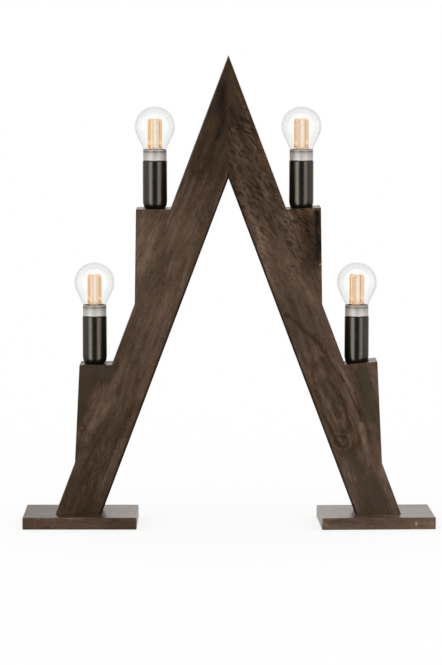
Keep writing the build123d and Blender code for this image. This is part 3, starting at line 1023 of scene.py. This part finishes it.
@dataclass
class WoodenArch:
    """Legs, feet, corbels and cover strips, which keep their solids and get grain of their own.

    Widths and depths are in millimetres.
    """

    leg_width: float = 47.6
    leg_depth: float = 40.0
    cover_width: float = 19.6
    cover_tone: float = -0.05

    def __post_init__(self) -> None:
        """Works out the legs' lean from the frame."""
        low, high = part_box("right_leg")
        self.foot_top = low.z
        self.apex = high.z
        self.lean = math.atan2(high.x, high.z - low.z)

    def _leg_origin(self, side: Side) -> Point:
        """Point of a leg's centre line at the top of its foot."""
        reach = (self.apex - self.foot_top) * math.tan(self.lean)
        half = self.leg_width * MM / 2 / math.cos(self.lean)
        return (side.value * (reach - half), 0.0, self.foot_top)

    def dress(self) -> None:
        """Dresses every wooden piece."""
        for side in Side:
            self._dress_leg(side)
            self._dress_foot(side)
            self._dress_cover(side)

    def _board(self, side: Side, node: str, **edges: float) -> StainedWood:
        """The wood of a leg, which its two corbels share so that the grain runs on.

        Args:
            side: The side of the arch.
            node: The node that the wood is for.
            **edges: Sizes and the shaded side for the edges' painted shade and darker stain, for the leg
                     alone.

        Returns:
            The wood.
        """
        own: dict[Side, Inputs] = {
            Side.LEFT: dict(
                seed=3.1,
                shading=(
                    (0.0, -0.15), (70.0, -0.12), (130.0, -0.04), (330.0, 0.0), (400.0, -0.14), (470.0, -0.19),
                    (530.0, -0.22),
                ),
                marks=(
                    Streak(((-16.0, 500.0), (-2.0, 450.0)), 12.0, -0.2),
                    Streak(((-8.0, 441.0), (-10.0, 405.0)), 14.0, -0.12),
                    Streak(((-52.0, 337.0), (-40.0, 318.0)), 15.0, 0.04),
                    Streak(((-30.0, 348.0), (-24.0, 330.0)), 9.0, -0.1),
                    Streak(((13.0, 336.0), (15.5, 279.0)), 7.0, 0.12),
                    Streak(((-47.0, 157.0), (-27.0, 160.0)), 18.0, -0.27, 0.7),
                    Streak(((-44.0, 140.0), (-40.0, 105.0)), 17.0, -0.23, 0.5),
                    Streak(((-9.0, 133.0), (-20.0, 97.0)), 8.0, 0.14),
                    Streak(((17.0, 142.0), (12.0, 92.0)), 9.0, -0.1),
                    Knot((-30.0, 91.8), 9.0, -0.16, 5.0),
                ),
            ),
            Side.RIGHT: dict(
                seed=11.7,
                shading=(
                    (0.0, 0.04), (110.0, -0.02), (200.0, -0.03), (330.0, 0.0), (400.0, -0.1), (470.0, -0.17),
                    (530.0, -0.22),
                ),
                curl_span=(250.0, 520.0),
                marks=(
                    Streak(((5.0, 477.0), (8.0, 455.0)), 11.0, -0.16),
                    Streak(((-14.0, 346.0), (-18.0, 318.0)), 7.0, 0.14),
                    Streak(((54.0, 339.0), (38.0, 291.0)), 5.0, -0.36),
                    Streak(((42.0, 332.0), (32.0, 290.0)), 19.0, -0.25),
                    Streak(((36.6, 283.0), (37.4, 283.0)), 1.8, 0.8),
                    Streak(
                        ((-17.6, 244.0), (4.5, 203.0), (11.8, 175.0), (18.0, 148.0), (19.0, 106.0)),
                        3.2, -0.17),
                    Streak(((15.0, 181.0), (22.5, 140.0)), 3.0, 0.14),
                    Streak(((38.0, 152.0), (30.0, 106.0)), 13.0, -0.15, 0.7),
                    Streak(((-8.0, 158.0), (0.0, 134.0)), 9.0, -0.06, 0.6),
                    Streak(((18.0, 101.0), (10.0, 56.0)), 6.0, 0.12),
                    Streak(((-10.0, 75.0), (0.0, 56.0)), 12.0, -0.08, 0.7),
                    Streak(((-1.0, 32.0), (-1.0, 5.0)), 24.0, -0.06, 0.5),
                    Knot((-9.0, 91.0), 19.0, -0.18, 6.0),
                    Knot((-2.0, 128.0), 36.0, -0.14, 7.5, 0.3),
                ),
            ),
        }
        return StainedWood(
            name=f"stained_wood_{node}",
            origin=self._leg_origin(side),
            turn=-side.value * self.lean,
            half_depth=self.leg_depth / 2,
            **own[side],
            **edges,
        )

    def _dress_leg(self, side: Side) -> None:
        """Gives a leg and its corbels their grain, with the figure and marks that each side has."""
        node = f"{side.word}_leg"
        # The leg's inner edge, on its shaded side, gets painted shade.
        dress(node, self._board(side, node, half_width=self.leg_width / 2, dark_side=-side.value).material())
        for level in Level:
            node = f"{level.value}_{side.word}_corbel"
            dress(node, self._board(side, node).material())

    def _dress_foot(self, side: Side) -> None:
        """Gives a foot block grain along its width, and the right one small dings."""
        node = f"{side.word}_foot"
        low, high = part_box(node)
        dings = (
            Streak(((0.0, 43.0), (0.4, 43.8)), 1.6, 0.5),
            Streak(((-1.0, 60.0), (1.4, 61.5)), 2.0, 0.4),
            Streak(((-3.0, -60.0), (1.0, -57.0)), 3.0, 0.24),
        )
        own: dict[Side, Inputs] = {
            Side.LEFT: dict(seed=17.0, tone=-0.07, lacquer=0.42, lacquer_slope=0.003),
            Side.RIGHT: dict(seed=25.0, tone=0.09, lacquer=0.63, lacquer_slope=-0.0009, marks=dings),
        }
        wood = StainedWood(
            name=f"stained_wood_{node}",
            origin=tuple((low + high) / 2),
            turn=math.pi / 2,
            half_width=(high.z - low.z) / 2 / MM,
            half_depth=(high.y - low.y) / 2 / MM,
            **own[side],
        )
        dress(node, wood.material())

    def _dress_cover(self, side: Side) -> None:
        """Gives a cover strip grain along the leg."""
        node = f"{side.word}_wiring_cover"
        wood = StainedWood(
            name=f"stained_wood_{node}",
            origin=self._leg_origin(side),
            turn=-side.value * self.lean,
            half_width=self.cover_width / 2,
            half_depth=self.leg_depth / 2,
            seed={Side.LEFT: 45.0, Side.RIGHT: 57.0}[side],
            tone=self.cover_tone,
        )
        dress(node, wood.material())


@dataclass
class Fasteners:
    """Countersunk cross-head screws; the recess is a share of the head's radius and depth."""

    recess_width: float = 0.3
    recess_depth: float = 0.4
    recess_length: float = 1.3
    head_sides: int = 32
    shank_sides: int = 16
    seed: int = 7

    def __post_init__(self) -> None:
        """Builds the screw tree."""
        sizes = ("Head Radius", "Shank Radius", "Length", "Recess Length", "Recess Width", "Recess Depth")
        inputs = dict.fromkeys(sizes, "NodeSocketFloat")
        inputs |= {"Facing": "NodeSocketVector", "Seed": "NodeSocketInt"}
        self.tree = GeometryTree("countersunk_screws", inputs)
        self._build_tree()

    def _build_tree(self) -> None:
        """A screw with its head's flat at zero and its point down, set on every point."""
        tree = self.tree
        head = tree.given("Head Radius")
        shank = tree.given("Shank Radius")
        depth = head - shank
        sizes = {"Vertices": self.head_sides, "Radius Top": head, "Radius Bottom": shank, "Depth": depth}
        cone = tree.moved(tree.add("GeometryNodeMeshCone", inputs=sizes), tree.vector(z=-1.0 * depth))
        length = tree.given("Length") - depth
        shaft = tree.rod(self.shank_sides, shank, length)
        shaft = tree.moved(shaft, tree.vector(z=-1.0 * depth - length * 0.5))
        bar = tree.vector(
            head * tree.given("Recess Length"), tree.given("Recess Width") * head,
            tree.given("Recess Depth") * depth * 2.0)
        slot = tree.add("GeometryNodeMeshCube", inputs={"Size": bar})
        cross = tree.moved(slot, turn=(0, 0, math.pi / 2))
        cut = tree.add("GeometryNodeMeshBoolean", {"operation": "DIFFERENCE"}, {"Mesh 1": cone})
        for recess in (slot, cross):
            tree.tree.links.new(recess.socket, cut.socket.node.inputs["Mesh 2"])
        spins = {"Min": 0.0, "Max": math.pi, "Seed": tree.given("Seed")}
        spin = tree.add("FunctionNodeRandomValue", {"data_type": "FLOAT"}, spins, 1)
        placed = tree.on_points(tree.given("Geometry"), tree.join(cut, shaft), tree.vector(z=spin))
        real = tree.add("GeometryNodeRealizeInstances", inputs={"Geometry": placed})
        tree.close(tree.moved(real, turn=tree.given("Facing")))

    def build(self, node: str, facing: Vector, turn: Point, shank: float, finish: bpy.types.Material) -> None:
        """Replaces the screws of a node.

        Args:
            node: The node with the screws.
            facing: Direction that their heads face.
            turn: Euler angles that turn +Z to that direction.
            shank: Radius of the shank in metres.
            finish: Their material.
        """
        axis = max(range(3), key=lambda i: abs(facing[i]))
        aside = (axis + 1) % 3
        back = Matrix.Rotation(-turn[0], 3, "X")
        points, lengths, heads = [], [], []
        for low, high in islands(node):
            middle = (low + high) / 2
            middle[axis] = high[axis] if facing[axis] > 0 else low[axis]
            points.append(back @ middle)
            lengths.append(high[axis] - low[axis])
            heads.append((high[aside] - low[aside]) / 2)
        piece = self.tree.mesh(
            f"{node}_cross_head", points, finish, head_radius=max(heads), shank_radius=shank,
            length=max(lengths), recess_length=self.recess_length, recess_width=self.recess_width,
            recess_depth=self.recess_depth, facing=turn, seed=self.seed)
        place_piece(smooth(piece), BODY, Slot.STEEL, node)


@dataclass
class Fittings:
    """Screws at the back and under the feet, the grommet, and what is inside the legs and holders."""

    cover_shank: float = 1.25 * MM
    foot_shank: float = 2.5 * MM

    INNER_FINISHES = {
        "cord_grommet": "rubber",
        "flex": "rubber",
        "tap_connectors": "moulding",
        "terminal_block": "moulding",
        "apex_dowels": "beech",
        "corbel_dowels": "beech",
        "holder_inserts": "insert",
        "screw_shells": "brass",
        "nipples": "zinc",
        "nipple_nuts": "zinc",
        "terminals": "brass",
    }

    def build(self, finishes: dict[str, bpy.types.Material]) -> None:
        """Builds the screws and dresses the rest.

        Args:
            finishes: Materials by name.
        """
        screws = Fasteners()
        back_turn = (-math.pi / 2, 0.0, 0.0)
        under_turn = (math.pi, 0.0, 0.0)
        screws.build("cover_screws", Vector((0, 1, 0)), back_turn, self.cover_shank, finishes["zinc"])
        screws.build("foot_screws", Vector((0, 0, -1)), under_turn, self.foot_shank, finishes["zinc"])
        for node, finish in self.INNER_FINISHES.items():
            dress(node, finishes[finish])


@dataclass
class OnStep:
    """What stands on one of the four steps."""

    level: Level
    side: Side

    @property
    def place(self) -> str:
        """The step's name."""
        return f"{self.level.value}_{self.side.word}"

    def span(self, piece: str) -> tuple[Vector, float, float, float]:
        """Axis, radius, lowest and highest level of a round node.

        Args:
            piece: The node's name without its place.

        Returns:
            The axis's point on the table, the radius, and the two heights.
        """
        low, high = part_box(f"{self.place}_{piece}")
        axis = Vector(((low.x + high.x) / 2, (low.y + high.y) / 2, 0.0))
        return axis, (high.x - low.x) / 2, low.z, high.z


@dataclass
class LampHolder(OnStep):
    """One black holder on a step: the sleeve is turned anew, its inside keeps the solids."""

    wall: float = 1.8 * MM
    floor: float = 3.0 * MM
    bore: float = 5.3 * MM
    foot_round: float = 3.6 * MM
    foot_rise: float = 9.5 * MM
    foot_steps: int = 14
    rim_round: float = 1.0 * MM

    def build(self, plastic: bpy.types.Material, brass: bpy.types.Material) -> None:
        """Turns the sleeve and dresses the contact.

        Args:
            plastic: Material of the sleeve.
            brass: Material of the contact.
        """
        axis, radius, low, high = self.span("sleeve")
        axis.z = low
        height = high - low
        foot = self.foot_round
        rim = self.rim_round
        inner = radius - self.wall
        drawn_in = arc((radius - foot, foot), foot, -90, 0, self.foot_steps)
        profile = [(self.bore, 0.0)]
        profile += [(across, up * self.foot_rise / foot) for across, up in drawn_in]
        profile += arc((radius - rim, height - rim), rim, 0, 90, EDGE_STEPS)
        profile += [(inner, height), (inner, self.floor), (self.bore, self.floor)]
        node = f"{self.place}_sleeve"
        place_piece(lathe(f"{node}_turned", profile, axis, plastic), BODY, Slot.BLACK_PLASTIC, node)
        dress(f"{self.place}_contact", brass)


@dataclass
class Lamp(OnStep):
    """One screw-in lamp: clear globe, silver collar, threaded cap, stem and filaments."""

    glass_wall: float = 0.7 * MM
    glass_gap: float = 0.05 * MM
    globe_steps: int = 40
    collar_wall: float = 1.5 * MM
    collar_round: float = 0.6 * MM
    stem_radius: float = 3.5 * MM
    stem_dome: float = 2.1 * MM
    dome_angles: tuple[float, float] = (28.65, 57.3)
    flare: float = 3.0 * MM
    flare_rim: float = 1.2 * MM
    flare_knee: float = 2.1 * MM
    flare_height: float = 6.0 * MM
    thread_pitch: float = 2.822 * MM
    thread_core: float = 6.15 * MM
    thread_ridge: float = 0.75 * MM
    thread_turns: float = 4.0
    thread_start: float = 1.05 * MM
    filament_count: int = 4
    filament_radius: float = 1.05 * MM
    filament_ring: float = 8.5 * MM
    filament_twist: float = 10.0
    filament_bend: float = 2.6 * MM
    arm: float = 1.0 * MM

    # Colours of the collar by height, with painted shade: darker upwards to a dark band just below its mouth,
    # lighter again at its rim.
    COLLAR_SHADED_BANDS = (
        (0.0, srgb(204, 199, 195)), (0.5, srgb(184, 179, 174)), (0.68, srgb(168, 161, 155)),
        (0.8, srgb(116, 107, 98)), (0.9, srgb(142, 134, 127)), (1.0, srgb(198, 193, 188)),
    )
    STEM_BANDS = (
        (0.0, srgb(120, 100, 84)), (0.06, srgb(206, 190, 168)), (0.5, srgb(200, 186, 170)),
        (1.0, srgb(198, 183, 167)),
    )
    FILAMENT_BANDS = (
        (0.0, srgb(190, 136, 88)), (0.1, srgb(194, 146, 98)), (0.15, srgb(210, 182, 132)),
        (0.22, srgb(208, 180, 134)), (0.3, srgb(194, 158, 113)), (0.88, srgb(192, 154, 110)),
        (1.0, srgb(206, 184, 150)),
    )

    @property
    def body(self) -> str:
        """The moving body that carries the lamp."""
        return f"{self.place}_lamp"

    def build(self, finishes: dict[str, bpy.types.Material], trees: dict[str, GeometryTree]) -> None:
        """Builds every piece of the lamp.

        Args:
            finishes: Materials by name.
            trees: Geometry trees by name.
        """
        self._collar()
        self._globe(finishes["glass"])
        self._stem()
        self._filaments(trees["filaments"])
        self._cap(trees["thread"], finishes["nickel"])
        dress(f"{self.place}_insulator", finishes["vitrite"])
        dress(f"{self.place}_tip", finishes["brass"])

    def _collar(self) -> None:
        """Turns the collar with softened edges; painted shade darkens a band below its mouth, and its inside
        is cement grey with painted shade.
        """
        axis, radius, low, high = self.span("collar")
        soft = self.collar_round
        inner = radius - self.collar_wall
        base = low + self.collar_wall
        profile = [(self.thread_core, low)]
        profile += arc((radius - soft, low + soft), soft, -90, 0, EDGE_STEPS)
        profile += arc((radius - soft, high - soft), soft, 0, 90, EDGE_STEPS)
        profile += [(inner, high), (inner, base), (self.thread_core, base)]
        # The collar's bands and its core colour carry painted shade.
        silver = BandedFinish(
            f"satin_silver_{self.place}", axis, low, high, self.COLLAR_SHADED_BANDS, roughness=0.42, metallic=0.12,
            core=inner)
        piece = lathe(f"{self.body}_collar", profile, axis, silver.material())
        place_piece(piece, self.body, Slot.COLLAR, f"{self.place}_collar")

    def _globe(self, glass: bpy.types.Material) -> None:
        """Turns the globe as a thin shell with a neck inside the collar."""
        axis, *_ = self.span("globe")
        profile = self._globe_line(0.0) + self._globe_line(self.glass_wall)[::-1]
        piece = lathe(f"{self.body}_globe", profile, axis, glass)
        place_piece(piece, self.body, Slot.GLASS, f"{self.place}_globe")

    def _globe_line(self, wall: float) -> Profile:
        """Outline of the globe from its crown to its mouth, moved inwards by a wall.

        Args:
            wall: How far inside the outer face.

        Returns:
            The outline.
        """
        _, globe, low, high = self.span("globe")
        _, collar, _, mouth = self.span("collar")
        radius = globe - wall
        centre = high - globe
        shoulder = (collar - self.glass_gap - wall, mouth + wall)
        reach = math.hypot(shoulder[0], shoulder[1] - centre)
        angle = math.atan2(shoulder[1] - centre, shoulder[0]) + math.acos(radius / reach)
        neck = collar - self.collar_wall - self.glass_gap - wall
        line = arc((0.0, centre), radius, 90, math.degrees(angle), self.globe_steps)
        line[0] = (0.0, line[0][1])
        return line + [shoulder, (neck, mouth + wall), (neck, low)]

    def _stem(self) -> None:
        """Turns the stem with its flared foot and domed top."""
        axis, _, low, high = self.span("stem")
        _, collar, _, mouth = self.span("collar")
        base = collar - self.collar_wall - 2 * self.glass_gap - self.glass_wall
        radius = self.stem_radius
        dome = self.stem_dome
        profile = [(0.0, low), (base, low), (base, low + self.flare_rim)]
        profile += [(radius + self.flare, low + self.flare_knee), (radius, low + self.flare_height)]
        profile += [(radius, high - dome)]
        profile += arc((radius - dome, high - dome), dome, *self.dome_angles, 1)
        profile += [(0.0, high)]
        # Painted light: the stem glass glows with its own colour.
        glow = BandedFinish(
            f"stem_glass_{self.place}", axis, mouth, high, self.STEM_BANDS, roughness=0.3, glow=0.58)
        piece = lathe(f"{self.body}_stem", profile, axis, glow.material())
        place_piece(piece, self.body, Slot.STEM, f"{self.place}_stem")

    def _filaments(self, tree: GeometryTree) -> None:
        """Sets the filaments round the stem."""
        axis, _, low, high = self.span("filament_cage")
        # Painted light: the filaments give off light of their own colour.
        glow = BandedFinish(
            f"filament_{self.place}", axis, low, high, self.FILAMENT_BANDS, roughness=0.45, glow=0.55)
        piece = tree.mesh(
            f"{self.body}_filaments", [axis + Vector((0, 0, low))], glow.material(),
            count=self.filament_count, ring_radius=self.filament_ring, radius=self.filament_radius,
            height=high - low, twist=math.radians(self.filament_twist), bend=self.filament_bend,
            arm=self.arm)
        place_piece(smooth(piece), self.body, Slot.FILAMENT, f"{self.place}_filament_cage")

    def _cap(self, tree: GeometryTree, nickel: bpy.types.Material) -> None:
        """Winds the thread on the cap."""
        axis, _, low, high = self.span("cap")
        piece = tree.mesh(
            f"{self.body}_cap", [axis + Vector((0, 0, low))], nickel, pitch=self.thread_pitch,
            turns=self.thread_turns, core_radius=self.thread_core, ridge_radius=self.thread_ridge,
            height=high - low, start=self.thread_start)
        place_piece(smooth(piece), self.body, Slot.NICKEL, f"{self.place}_cap")


def thread_tree() -> GeometryTree:
    """The tree of a threaded cap: a core with a round ridge wound on it."""
    steps_to_a_turn, ridge_sides, core_sides = 48, 12, 64
    sizes = ("Pitch", "Turns", "Core Radius", "Ridge Radius", "Height", "Start")
    tree = GeometryTree("threaded_cap", dict.fromkeys(sizes, "NodeSocketFloat"))
    radius = tree.given("Core Radius")
    height = tree.given("Height")
    turns = tree.given("Turns")
    spiral = tree.add("GeometryNodeCurveSpiral", inputs={
        "Resolution": steps_to_a_turn,
        "Rotations": turns,
        "Start Radius": radius,
        "End Radius": radius,
        "Height": tree.given("Pitch") * turns,
    })
    ridge = tree.tube(spiral, ridge_sides, tree.given("Ridge Radius"))
    ridge = tree.moved(ridge, tree.vector(z=tree.given("Start")))
    core = tree.moved(tree.rod(core_sides, radius, height), tree.vector(z=height * 0.5))
    tree.close(tree.on_points(tree.given("Geometry"), tree.join(core, ridge)))
    return tree


def filament_tree() -> GeometryTree:
    """The tree of a filament cage: rods on a ring, each bowed at its top and tied to the stem by an arm."""
    rod_sides, bow_steps = 20, 8
    sizes = ("Ring Radius", "Radius", "Height", "Twist", "Bend", "Arm")
    inputs = {"Count": "NodeSocketInt", **dict.fromkeys(sizes, "NodeSocketFloat")}
    tree = GeometryTree("filament_cage", inputs)
    radius = tree.given("Radius")
    ring = tree.given("Ring Radius")
    arm = tree.given("Arm")
    top = tree.given("Height") - radius
    post = top - tree.given("Bend")
    reach = ring - tree.given("Bend")
    rod = tree.moved(tree.rod(rod_sides, radius, post), tree.vector(ring, z=post * 0.5))
    bow = tree.add("GeometryNodeCurveQuadraticBezier", inputs={
        "Resolution": bow_steps,
        "Start": tree.vector(ring, z=post),
        "Middle": tree.vector(ring, z=top),
        "End": tree.vector(reach, z=top),
    })
    bow = tree.tube(bow, rod_sides, radius)
    bar = tree.add("GeometryNodeMeshCube", inputs={"Size": tree.vector(reach, arm, arm)})
    bar = tree.moved(bar, tree.vector(reach * 0.5, z=top))
    count = tree.given("Count")
    step = 2 * math.pi / count
    turn = (tree.add("GeometryNodeInputIndex") + 0.5) * step + tree.given("Twist")
    points = tree.add("GeometryNodePoints", inputs={"Count": count})
    cage = tree.on_points(points, tree.join(rod, bow, bar), tree.vector(z=turn))
    cage = tree.add("GeometryNodeRealizeInstances", inputs={"Geometry": cage})
    tree.close(tree.on_points(tree.given("Geometry"), cage))
    return tree


@dataclass
class Studio:
    """Pale floor, white surroundings, soft lamps and the camera."""

    camera_place: Point = (-0.0082, -3.5, 0.602)
    camera_pitch: float = 6.325
    focal_pixels: float = 3172.0
    picture_width: float = 442.0
    sensor: float = 36.0
    floor_half: float = 9.0
    floor_gap: float = 0.1 * MM
    floor_shade: float = 0.5
    bounce_shade: float = 0.7
    bounce_light: float = 0.4
    world_light: float = 0.5
    left_panel: float = 4.6
    right_panel: float = 3.1
    mirrored_tint: Colour = (1.0, 0.96, 0.92, 1.0)
    side_place: Point = (1.75, -2.3, 0.75)
    side_size: tuple[float, float] = (0.55, 1.7)
    side_power: float = 22.0
    top_place: Point = (0.0, -0.3, 2.6)
    top_size: tuple[float, float] = (2.2, 1.6)
    top_power: float = 16.0
    aim: Point = (0.0, 0.0, 0.25)

    SIDE_WALLS = Band(-0.6, -0.3, 0.85)
    FAR_CORNERS = Band(0.1, 0.5, -0.4)
    BACKDROP = Band(0.6, 0.95, 0.47)
    BELOW_CEILING = Band(0.75, 0.35, 0.6)
    CEILING_SHARE = 0.4
    ABOVE_GROUND = Band(-0.3, 0.0, 0.5)
    GROUND_SHARE = 0.5
    ROOM_LEAST = 0.08
    PANEL_SIDES = (Band(0.38, 0.56), Band(1.7, 1.35))
    PANEL_ENDS = (Band(-0.5, -0.4), Band(0.7, 0.55))
    LEFT_TO_RIGHT = (-0.01, 0.01)
    LEAST_BEHIND = 0.001

    def build(self) -> None:
        """Builds the whole studio."""
        self._world()
        self._lamps(self._floor())
        self._camera()
        bpy.context.scene.view_settings.view_transform = "Standard"

    def _seen(self, tree: NodeTree) -> tuple[Value, Value]:
        """Whether a ray comes from the camera, and whether it is a mirrored or transmitted one.

        Args:
            tree: The tree to add the nodes to.

        Returns:
            Camera share and mirror share, each 0 or 1.
        """
        path = tree.add("ShaderNodeLightPath", output="Is Camera Ray")
        outputs = path.socket.node.outputs
        mirror = Value(tree, outputs["Is Glossy Ray"]).larger(Value(tree, outputs["Is Transmission Ray"]))
        return path, mirror

    def _world(self) -> None:
        """White to the camera; mirrored rays see a warm white room with two panels behind the camera."""
        world = bpy.data.worlds.new("studio")
        bpy.context.scene.world = world
        world.use_nodes = True
        tree = NodeTree(world.node_tree)
        camera, mirror = self._seen(tree)
        across, ahead, up = tree.split(tree.add("ShaderNodeTexCoord", output="Generated"))
        upper = self.BELOW_CEILING.of(up) + self.CEILING_SHARE
        lower = self.ABOVE_GROUND.of(up) + self.GROUND_SHARE
        walls = self.SIDE_WALLS.of(ahead) + self.FAR_CORNERS.of(ahead) + self.BACKDROP.of(ahead)
        room = walls * upper * lower + self.ROOM_LEAST
        aside = abs(across) / (ahead * -1.0).larger(self.LEAST_BEHIND)
        inner, outer = self.PANEL_SIDES
        foot, top = self.PANEL_ENDS
        panels = inner.of(aside) * outer.of(aside) * foot.of(up) * top.of(up)
        change = self.right_panel - self.left_panel
        panel_light = self.left_panel + across.rise(*self.LEFT_TO_RIGHT) * change
        level = mirror * (room + panels * panel_light) + (1.0 - mirror) * self.world_light
        strength = camera.larger(level * (1.0 - camera))
        tint = tree.mix(mirror, WHITE, self.mirrored_tint)
        sky = tree.add("ShaderNodeBackground", inputs={"Color": tint, "Strength": strength})
        tree.add("ShaderNodeOutputWorld", inputs={"Surface": sky})

    def _floor(self) -> bpy.types.Collection:
        """A pale floor, white to the camera with a soft shadow; mirrored rays pass through to the room.

        Returns:
            A collection that keeps the floor out of a lamp's light.
        """
        half = self.floor_half
        mesh = bpy.data.meshes.new("floor")
        corners = [(x * half, y * half, -self.floor_gap) for x, y in ((-1, -1), (1, -1), (1, 1), (-1, 1))]
        mesh.from_pydata(corners, [], [(0, 1, 2, 3)])
        floor = bpy.data.objects.new("floor", mesh)
        bpy.context.scene.collection.objects.link(floor)
        tree = ShaderTree("pale_floor")
        camera, mirror = self._seen(tree)
        bounce = self._glowing(tree, self.bounce_shade, self.bounce_light)
        white = self._glowing(tree, self.floor_shade, 1.0 - self.floor_shade * self.world_light)
        through = tree.add("ShaderNodeBsdfTransparent")
        unseen = tree.add("ShaderNodeMixShader", inputs={0: mirror, 1: bounce, 2: through})
        seen = tree.add("ShaderNodeMixShader", inputs={0: camera, 1: unseen, 2: white})
        mesh.materials.append(tree.finish(seen))
        unlit = bpy.data.collections.new("lit_by_surroundings_alone")
        unlit.objects.link(floor)
        unlit.collection_objects[0].light_linking.link_state = "EXCLUDE"
        return unlit

    @staticmethod
    def _glowing(tree: ShaderTree, shade: float, glow: float) -> Value:
        """A matt grey that also gives off light.

        Args:
            tree: The material's tree.
            shade: Level of the grey.
            glow: Strength of the light.

        Returns:
            The shader.
        """
        matt = tree.add("ShaderNodeBsdfDiffuse", inputs={"Color": (shade, shade, shade, 1.0)})
        light = tree.add("ShaderNodeEmission", inputs={"Strength": glow})
        return tree.add("ShaderNodeAddShader", inputs={0: matt, 1: light})

    def _lamps(self, unlit: bpy.types.Collection) -> None:
        """Two tall softboxes in front and a wide one overhead.

        Args:
            unlit: What they don't light.
        """
        away, ahead, up = self.side_place
        for side in Side:
            place = (side.value * away, ahead, up)
            self._softbox(f"{side.word}_softbox", place, self.side_size, self.side_power, unlit)
        self._softbox("top_softbox", self.top_place, self.top_size, self.top_power, unlit)

    def _softbox(
        self, name: str, place: Point, size: tuple[float, float], power: float, unlit: bpy.types.Collection,
    ) -> None:
        """One rectangular lamp that looks at the middle of the arch and doesn't show itself.

        Args:
            name: The lamp's name.
            place: Its place.
            size: Width and height.
            power: Watts.
            unlit: What it doesn't light.
        """
        light = bpy.data.lights.new(name, "AREA")
        light.shape = "RECTANGLE"
        light.size, light.size_y = size
        light.energy = power
        lamp = bpy.data.objects.new(name, light)
        lamp.visible_camera = False
        lamp.visible_glossy = False
        lamp.light_linking.receiver_collection = unlit
        bpy.context.scene.collection.objects.link(lamp)
        lamp.location = place
        lamp.rotation_euler = (Vector(self.aim) - Vector(place)).to_track_quat("-Z", "Y").to_euler()

    def _camera(self) -> None:
        """The photograph's view."""
        data = bpy.data.cameras.new("camera")
        data.sensor_fit = "HORIZONTAL"
        data.sensor_width = self.sensor
        data.lens = self.focal_pixels * self.sensor / self.picture_width
        camera = bpy.data.objects.new("camera", data)
        camera.location = self.camera_place
        camera.rotation_euler = (math.radians(90.0 - self.camera_pitch), 0.0, 0.0)
        bpy.context.scene.collection.objects.link(camera)
        bpy.context.scene.camera = camera


def make_finishes() -> dict[str, bpy.types.Material]:
    """The finishes of everything but the stained wood and the lamps' banded pieces.

    Returns:
        Materials by name.
    """
    plain = {
        "black": PlainFinish(
            "satin_black_plastic", srgb(24, 22, 16), srgb(12, 11, 8), roughness=0.24, grain_scale=1.6,
            bump=0.05, specular=0.62, tint=(1.0, 0.94, 0.83, 1.0)),
        "nickel": PlainFinish(
            "nickel_plate", srgb(206, 200, 188), srgb(160, 150, 136), roughness=0.26, metallic=1.0,
            grain_scale=0.6),
        "brass": PlainFinish(
            "bare_brass", srgb(206, 170, 100), srgb(150, 116, 62), roughness=0.32, metallic=1.0,
            grain_scale=0.7),
        "zinc": PlainFinish(
            "zinc_plate", srgb(186, 188, 190), srgb(130, 131, 132), roughness=0.36, metallic=1.0,
            grain_scale=1.2),
        "rubber": PlainFinish(
            "black_rubber", srgb(34, 34, 33), srgb(20, 20, 20), roughness=0.62, grain_scale=2.0, bump=0.2),
        "moulding": PlainFinish(
            "white_moulding", srgb(226, 224, 218), srgb(204, 201, 194), roughness=0.5, grain_scale=1.5),
        "insert": PlainFinish(
            "dark_insert_moulding", srgb(40, 39, 37), srgb(26, 25, 24), roughness=0.55, grain_scale=1.5),
        "vitrite": PlainFinish(
            "black_vitrite", srgb(22, 22, 26), srgb(12, 12, 15), roughness=0.2, grain_scale=1.0),
        "beech": PlainFinish(
            "bare_beech", srgb(206, 170, 128), srgb(176, 138, 98), roughness=0.6,
            grain=(0.15, 1.6, 1.6), bump=0.2),
    }
    finishes = {key: finish.material() for key, finish in plain.items()}
    finishes["glass"] = ClearGlass().material()
    return finishes


def main() -> None:
    """Builds the arch's pieces in order."""
    logging.basicConfig(level=logging.INFO, format="%(name)s: %(message)s")
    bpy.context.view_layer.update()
    finishes = make_finishes()
    WoodenArch().dress()
    Fittings().build(finishes)
    trees = {"thread": thread_tree(), "filaments": filament_tree()}
    for level in Level:
        for side in Side:
            LampHolder(level, side).build(finishes["black"], finishes["brass"])
            Lamp(level, side).build(finishes, trees)
    Studio().build()


if __name__ == "__main__":
    main()
